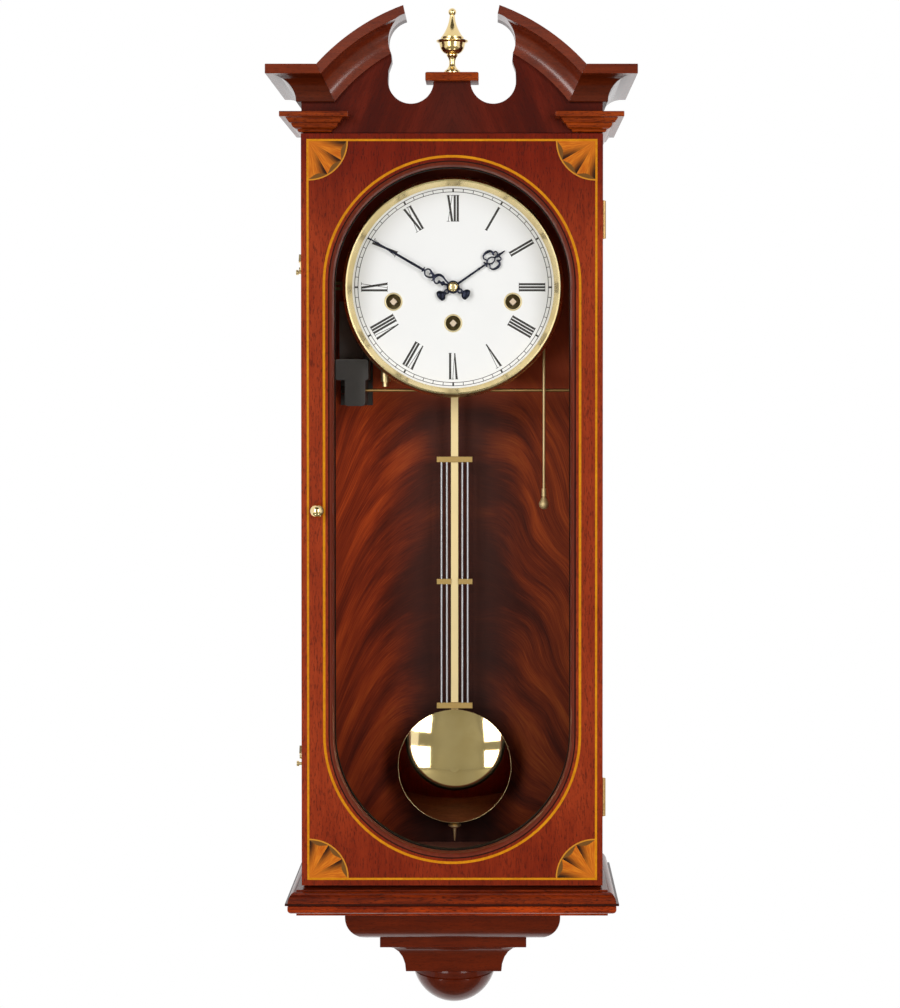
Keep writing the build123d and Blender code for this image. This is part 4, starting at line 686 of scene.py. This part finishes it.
def dial_printing():
    ink = bmesh.new()
    for inner, outer in TRACK_RINGS:
        ink_ring(ink, inner, outer)
    on_dial(ink, ink.verts[:], 0.0)
    for minute in range(60):
        wide = HOUR_TICK_WIDE if minute % 5 == 0 else TICK_WIDE
        ink_bar(ink, (0, TICK_R[0]), (0, TICK_R[1]), wide, wide, minute * pi / 30)
    for hour, letters in enumerate(NUMERALS):
        numeral(ink, letters, hour * pi / 6)
    bmesh.ops.recalc_face_normals(ink, faces=ink.faces)
    finished("dial_printing", ink, PRINTED_INK, "dial")


dial_printing()


# Hands, drawn upright in millimetres as strokes that swell and thin

HAND_WEIGHT = 1.3
HAND_FLATNESS = 0.36


def stroke(points):
    """A mesh of one scroll through points of offset, reach and half width."""
    curve = bpy.data.curves.new("scroll", "CURVE")
    curve.dimensions = "3D"
    curve.bevel_depth = 1.0
    curve.bevel_resolution = 3
    curve.use_fill_caps = True
    curve.resolution_u = 5
    line = curve.splines.new("NURBS")
    line.points.add(len(points) - 1)
    for point, (across, reach, half) in zip(line.points, points):
        point.co = (across, 0, reach, 1)
        point.radius = half * HAND_WEIGHT
    line.order_u = 3
    line.use_endpoint_u = True
    carrier = bpy.data.objects.new("scroll", curve)
    mesh = bpy.data.meshes.new_from_object(carrier)
    bpy.data.objects.remove(carrier)
    bpy.data.curves.remove(curve)
    return mesh


def hand(name, node, strokes, hub, turn, middle):
    """A hand of strokes round a hub, given by its bore and boss, turned to its hour."""
    bm = bmesh.new()
    for points in strokes:
        mesh = stroke(points)
        bm.from_mesh(mesh)
        bpy.data.meshes.remove(mesh)
    bore, boss = hub
    mean = (bore + boss) / 2
    inside = bmesh.ops.create_circle(bm, segments=64, radius=mean,
                                     matrix=Matrix.Rotation(pi / 2, 4, "X"))["verts"]
    edges = list({e for v in inside for e in v.link_edges})
    wall = bmesh.ops.extrude_edge_only(bm, edges=edges)["geom"]
    outside = [v for v in wall if isinstance(v, bmesh.types.BMVert)]
    for verts, r in ((outside, boss), (inside, bore)):
        bmesh.ops.scale(bm, verts=verts, vec=(r / mean, 1, r / mean))
    bmesh.ops.scale(bm, verts=bm.verts, vec=(MM, HAND_FLATNESS * MM, MM))
    bmesh.ops.rotate(bm, verts=bm.verts, cent=(0, 0, 0),
                     matrix=Matrix.Rotation(radians(turn), 3, "Y"))
    bmesh.ops.translate(bm, verts=bm.verts, vec=(0, middle * MM, DIAL_Z * MM))
    finished(name, bm, BLUED_STEEL, node, (node,))


def ball(across, reach, r):
    """A short stroke that swells to a ball."""
    return [(across, reach - r, 0.1 * r), (across, reach - r, 0.9 * r), (across, reach, 1.25 * r),
            (across, reach + r, 0.9 * r), (across, reach + r, 0.1 * r)]


TAIL = [
    [(0, -4.4, 0.6), (1.5, -5.4, 0.6), (1.6, -7.2, 0.5), (0, -8.2, 0.6), (-1.6, -7.2, 0.5),
     (-1.5, -5.4, 0.6), (0, -4.4, 0.6)],
    [(-1.7, -8.3, 0.3), (0, -8.3, 0.9), (1.7, -8.3, 0.3)],
    [(0, -7.8, 0.5), (0, -8.8, 1.3), (0, -10.2, 2.9), (0, -12.4, 3.5), (0, -14.4, 2.9),
     (0, -15.0, 0.3)],
]
MINUTE_STROKES = TAIL + [
    [(0.7, 4.6, 0.55), (1.6, 8.0, 0.5), (3.2, 11.0, 0.65), (3.2, 14.2, 0.9), (1.4, 16.4, 1.0),
     (-0.5, 17.2, 1.2)],
    [(-0.4, 17.2, 1.0), (-2.6, 16.6, 0.6), (-4.3, 14.8, 0.5), (-4.5, 12.6, 0.5), (-2.8, 11.8, 0.6)],
    ball(-2.2, 12.0, 0.95), ball(-1.6, 8.6, 1.3),
    [(-2.2, 11.8, 0.8), (-1.8, 9.6, 0.8), (-1.4, 7.0, 0.8), (-0.8, 4.6, 0.6)],
    [(-0.6, 17.2, 0.8), (-2.4, 17.0, 0.55), (-4.5, 17.3, 0.3)],
    [(-0.6, 17.2, 0.9), (-2.3, 19.2, 0.6), (-3.5, 22.4, 0.55), (-2.5, 25.4, 0.5), (0.2, 26.4, 0.5)],
    [(-0.5, 17.0, 1.1), (0.5, 18.8, 0.85), (1.3, 20.8, 0.85), (2.9, 22.8, 0.5), (2.5, 25.4, 0.5),
     (0.2, 26.3, 0.5)],
    [(1.2, 20.6, 0.6), (0.6, 21.1, 0.5), (0.0, 21.5, 0.5)], ball(0.0, 21.5, 0.6),
    [(-2.0, 28.0, 0.25), (0, 27.8, 0.9), (2.4, 27.8, 0.25)],
    [(0, 25.8, 0.6), (0, 30.0, 0.85), (0, 52.0, 0.75), (0, 70.0, 0.6), (0, 79.4, 0.3)],
]
HALF_SCROLL = [
    [(0.4, 33.8, 0.45), (2.0, 35.1, 0.45), (4.2, 33.4, 0.45), (6.2, 33.8, 0.5), (7.4, 36.0, 0.7),
     (7.5, 38.6, 0.95), (7.0, 41.2, 0.8), (4.9, 42.4, 0.6), (3.0, 41.6, 0.7)],
    ball(3.0, 41.6, 0.65),
    [(3.0, 41.8, 0.6), (4.4, 43.2, 0.5), (3.6, 45.2, 0.45), (1.4, 45.0, 0.45), (0.2, 43.4, 0.55)],
    [(1.7, 37.2, 0.4), (2.6, 36.9, 0.3), (3.3, 36.7, 0.15)],
    [(4.6, 34.0, 0.3), (4.6, 33.3, 0.2), (4.6, 32.5, 0.1)],
    [(5.6, 34.4, 0.3), (6.1, 34.0, 0.2), (6.6, 33.5, 0.1)],
]
OTHER_HALF = [[(-across, reach, half) for across, reach, half in points] for points in HALF_SCROLL]
HOUR_STROKES = TAIL + HALF_SCROLL + OTHER_HALF + [
    [(0, 4.4, 0.7), (0, 20.0, 0.6), (0, 33.4, 0.55)],
    [(0, 24.2, 0.3), (0, 25.5, 1.3), (0, 26.8, 0.3)],
    [(-2.3, 31.6, 0.45), (0, 33.0, 1.0), (2.3, 31.6, 0.45)],
    [(0, 33.7, 0.45), (2.2, 35.0, 0.45), (2.5, 38.8, 0.45), (0, 41.8, 0.4), (-2.5, 38.8, 0.45),
     (-2.2, 35.0, 0.45), (0, 33.7, 0.45)],
    [(0, 41.0, 0.5), (0, 42.4, 0.5), (0, 43.8, 1.1), (0, 45.4, 0.7), (0, 50.8, 0.45),
     (0, 51.4, 0.12)],
]
hand("minute_hand_scrolls", "minute_hand", MINUTE_STROKES, hub=(2.1, 5.2), turn=300.0, middle=-90.4)
hand("hour_hand_scrolls", "hour_hand", HOUR_STROKES, hub=(3.0, 5.2), turn=55.0, middle=-87.8)


# Studio, in metres

FLOOR_SIZE, FLOOR_Z = 5.0, -1.6
FLOOR_PAINT = (0.86, 0.86, 0.85)
ROOM_SIZE, ROOM_AT = (3.3, 3.1), (0.15, -3.0, 0.40)
ROOM_PAINT, ROOM_GLOW = (0.53, 0.52, 0.42), 0.20
CLOTH_SIZE, CLOTH_AT, CLOTH_SLOPE = (4.4, 4.35), (0.2, -2.05, -1.25), radians(-8)
CLOTH_PAINT, CLOTH_GLOW = (0.20, 0.195, 0.15), 0.75
CEILING_SIZE, CEILING_AT = (3.3, 2.0), (0.15, -2.0, 1.95)
CEILING_PAINT = (0.10, 0.095, 0.07)
SOFT_BOX_WIDE = 0.9
SOFT_BOX_TILT = 0.25                # each aims this far below its own height
SOFT_BOXES = (                      # name, place, height, watts
    ("soft_box_left_upper", (-1.35, -2.7, 0.74), 1.02, 25.5),
    ("soft_box_left_lower", (-1.35, -2.7, -0.68), 0.74, 18.0),
    ("soft_box_right_upper", (1.45, -2.7, 0.57), 1.36, 28.0),
    ("soft_box_right_lower", (1.45, -2.7, -0.75), 0.60, 12.2),
)
LOW_LAMP_SIZE, LOW_LAMP_WATTS = 0.30, 1.4
LOW_LAMP_AIM = (0, -0.06, -0.66)
LOW_LAMPS = (("low_lamp_left", (-0.53, -0.70, -1.38)), ("low_lamp_right", (0.53, -0.70, -1.38)))
SKY_FILL, SKY_SEEN = 0.35, 1.0      # strength of the white room as light, and as it is seen


def soft_box(name, at, aim, wide, tall, power):
    light = bpy.data.lights.new(name, "AREA")
    light.shape = "RECTANGLE"
    light.size = wide
    light.size_y = tall
    light.energy = power
    lamp = bpy.data.objects.new(name, light)
    bpy.context.scene.collection.objects.link(lamp)
    lamp.location = at
    lamp.rotation_euler = (Vector(aim) - Vector(at)).to_track_quat("-Z", "Y").to_euler()
    lamp.visible_camera = False


def studio_card(name, size, place, colour, glow=0.0, white=False):
    """A painted card that lights or is mirrored; a white one is seen as plain white."""
    bm = bmesh.new()
    bmesh.ops.create_grid(bm, x_segments=1, y_segments=1, size=0.5,
                          matrix=place @ Matrix.Diagonal((*size, 1, 1)))
    mesh = bpy.data.meshes.new(name)
    bm.to_mesh(mesh)
    bm.free()
    paint = Finish(name, **{"Roughness": 0.9, "Specular IOR Level": 0.1,
                            "Emission Color": (*colour, 1), "Emission Strength": glow})
    x, y, z = paint.place()
    mottle = paint.noise(paint.vector(x * 0.002, y * 0.002, z * 0.002), 3.0)
    paint.set({"Base Color": paint.mix(mottle, tuple(c * 0.95 for c in colour), colour)})
    if white:
        paint.set({"Emission Color": paint.mix(paint.seen(), (0, 0, 0), (1, 1, 1)),
                   "Emission Strength": 1.0})
    mesh.materials.append(paint.material)
    card = bpy.data.objects.new(name, mesh)
    bpy.context.scene.collection.objects.link(card)
    return card


def studio():
    scene = bpy.context.scene
    scene.view_settings.view_transform = "Standard"
    level = Matrix.Translation((0, 0, FLOOR_Z))
    studio_card("floor", (FLOOR_SIZE, FLOOR_SIZE), level, FLOOR_PAINT, white=True)
    upright = Matrix.Translation(ROOM_AT) @ Matrix.Rotation(pi / 2, 4, "X")
    slope = Matrix.Translation(CLOTH_AT) @ Matrix.Rotation(CLOTH_SLOPE, 4, "X")
    overhead = Matrix.Translation(CEILING_AT)
    for card in (studio_card("room_behind_camera", ROOM_SIZE, upright, ROOM_PAINT, ROOM_GLOW),
                 studio_card("floor_cloth", CLOTH_SIZE, slope, CLOTH_PAINT, CLOTH_GLOW),
                 studio_card("ceiling", CEILING_SIZE, overhead, CEILING_PAINT)):
        card.visible_camera = False
    for name, at, tall, power in SOFT_BOXES:
        soft_box(name, at, (0, 0, at[2] - SOFT_BOX_TILT), SOFT_BOX_WIDE, tall, power)
    for name, at in LOW_LAMPS:
        soft_box(name, at, LOW_LAMP_AIM, LOW_LAMP_SIZE, LOW_LAMP_SIZE, LOW_LAMP_WATTS)
    sky = bpy.data.worlds.new("white_studio")
    scene.world = sky
    sky.use_nodes = True
    room = Nodes(sky.node_tree)
    strength = room.node("MapRange", sockets={"Value": room.seen(), "To Min": SKY_FILL,
                                              "To Max": SKY_SEEN})
    backdrop = sky.node_tree.nodes["Background"]
    room.put(backdrop.inputs["Color"], (1, 1, 1, 1))
    room.put(backdrop.inputs["Strength"], strength)


# Camera, as the photo was taken

LENS = 73.49
SHIFT = (-0.0454, -0.095)
VIEWPOINT = (0.0345, -1.7536, -0.1748)
LOOKS_DOWN = 0.764


def camera():
    lens = bpy.data.cameras.new("photo_view")
    lens.lens = LENS
    lens.shift_x, lens.shift_y = SHIFT
    view = bpy.data.objects.new("photo_view", lens)
    bpy.context.scene.collection.objects.link(view)
    view.location = VIEWPOINT
    view.rotation_euler = (radians(90 - LOOKS_DOWN), 0, 0)
    bpy.context.scene.camera = view


studio()
camera()
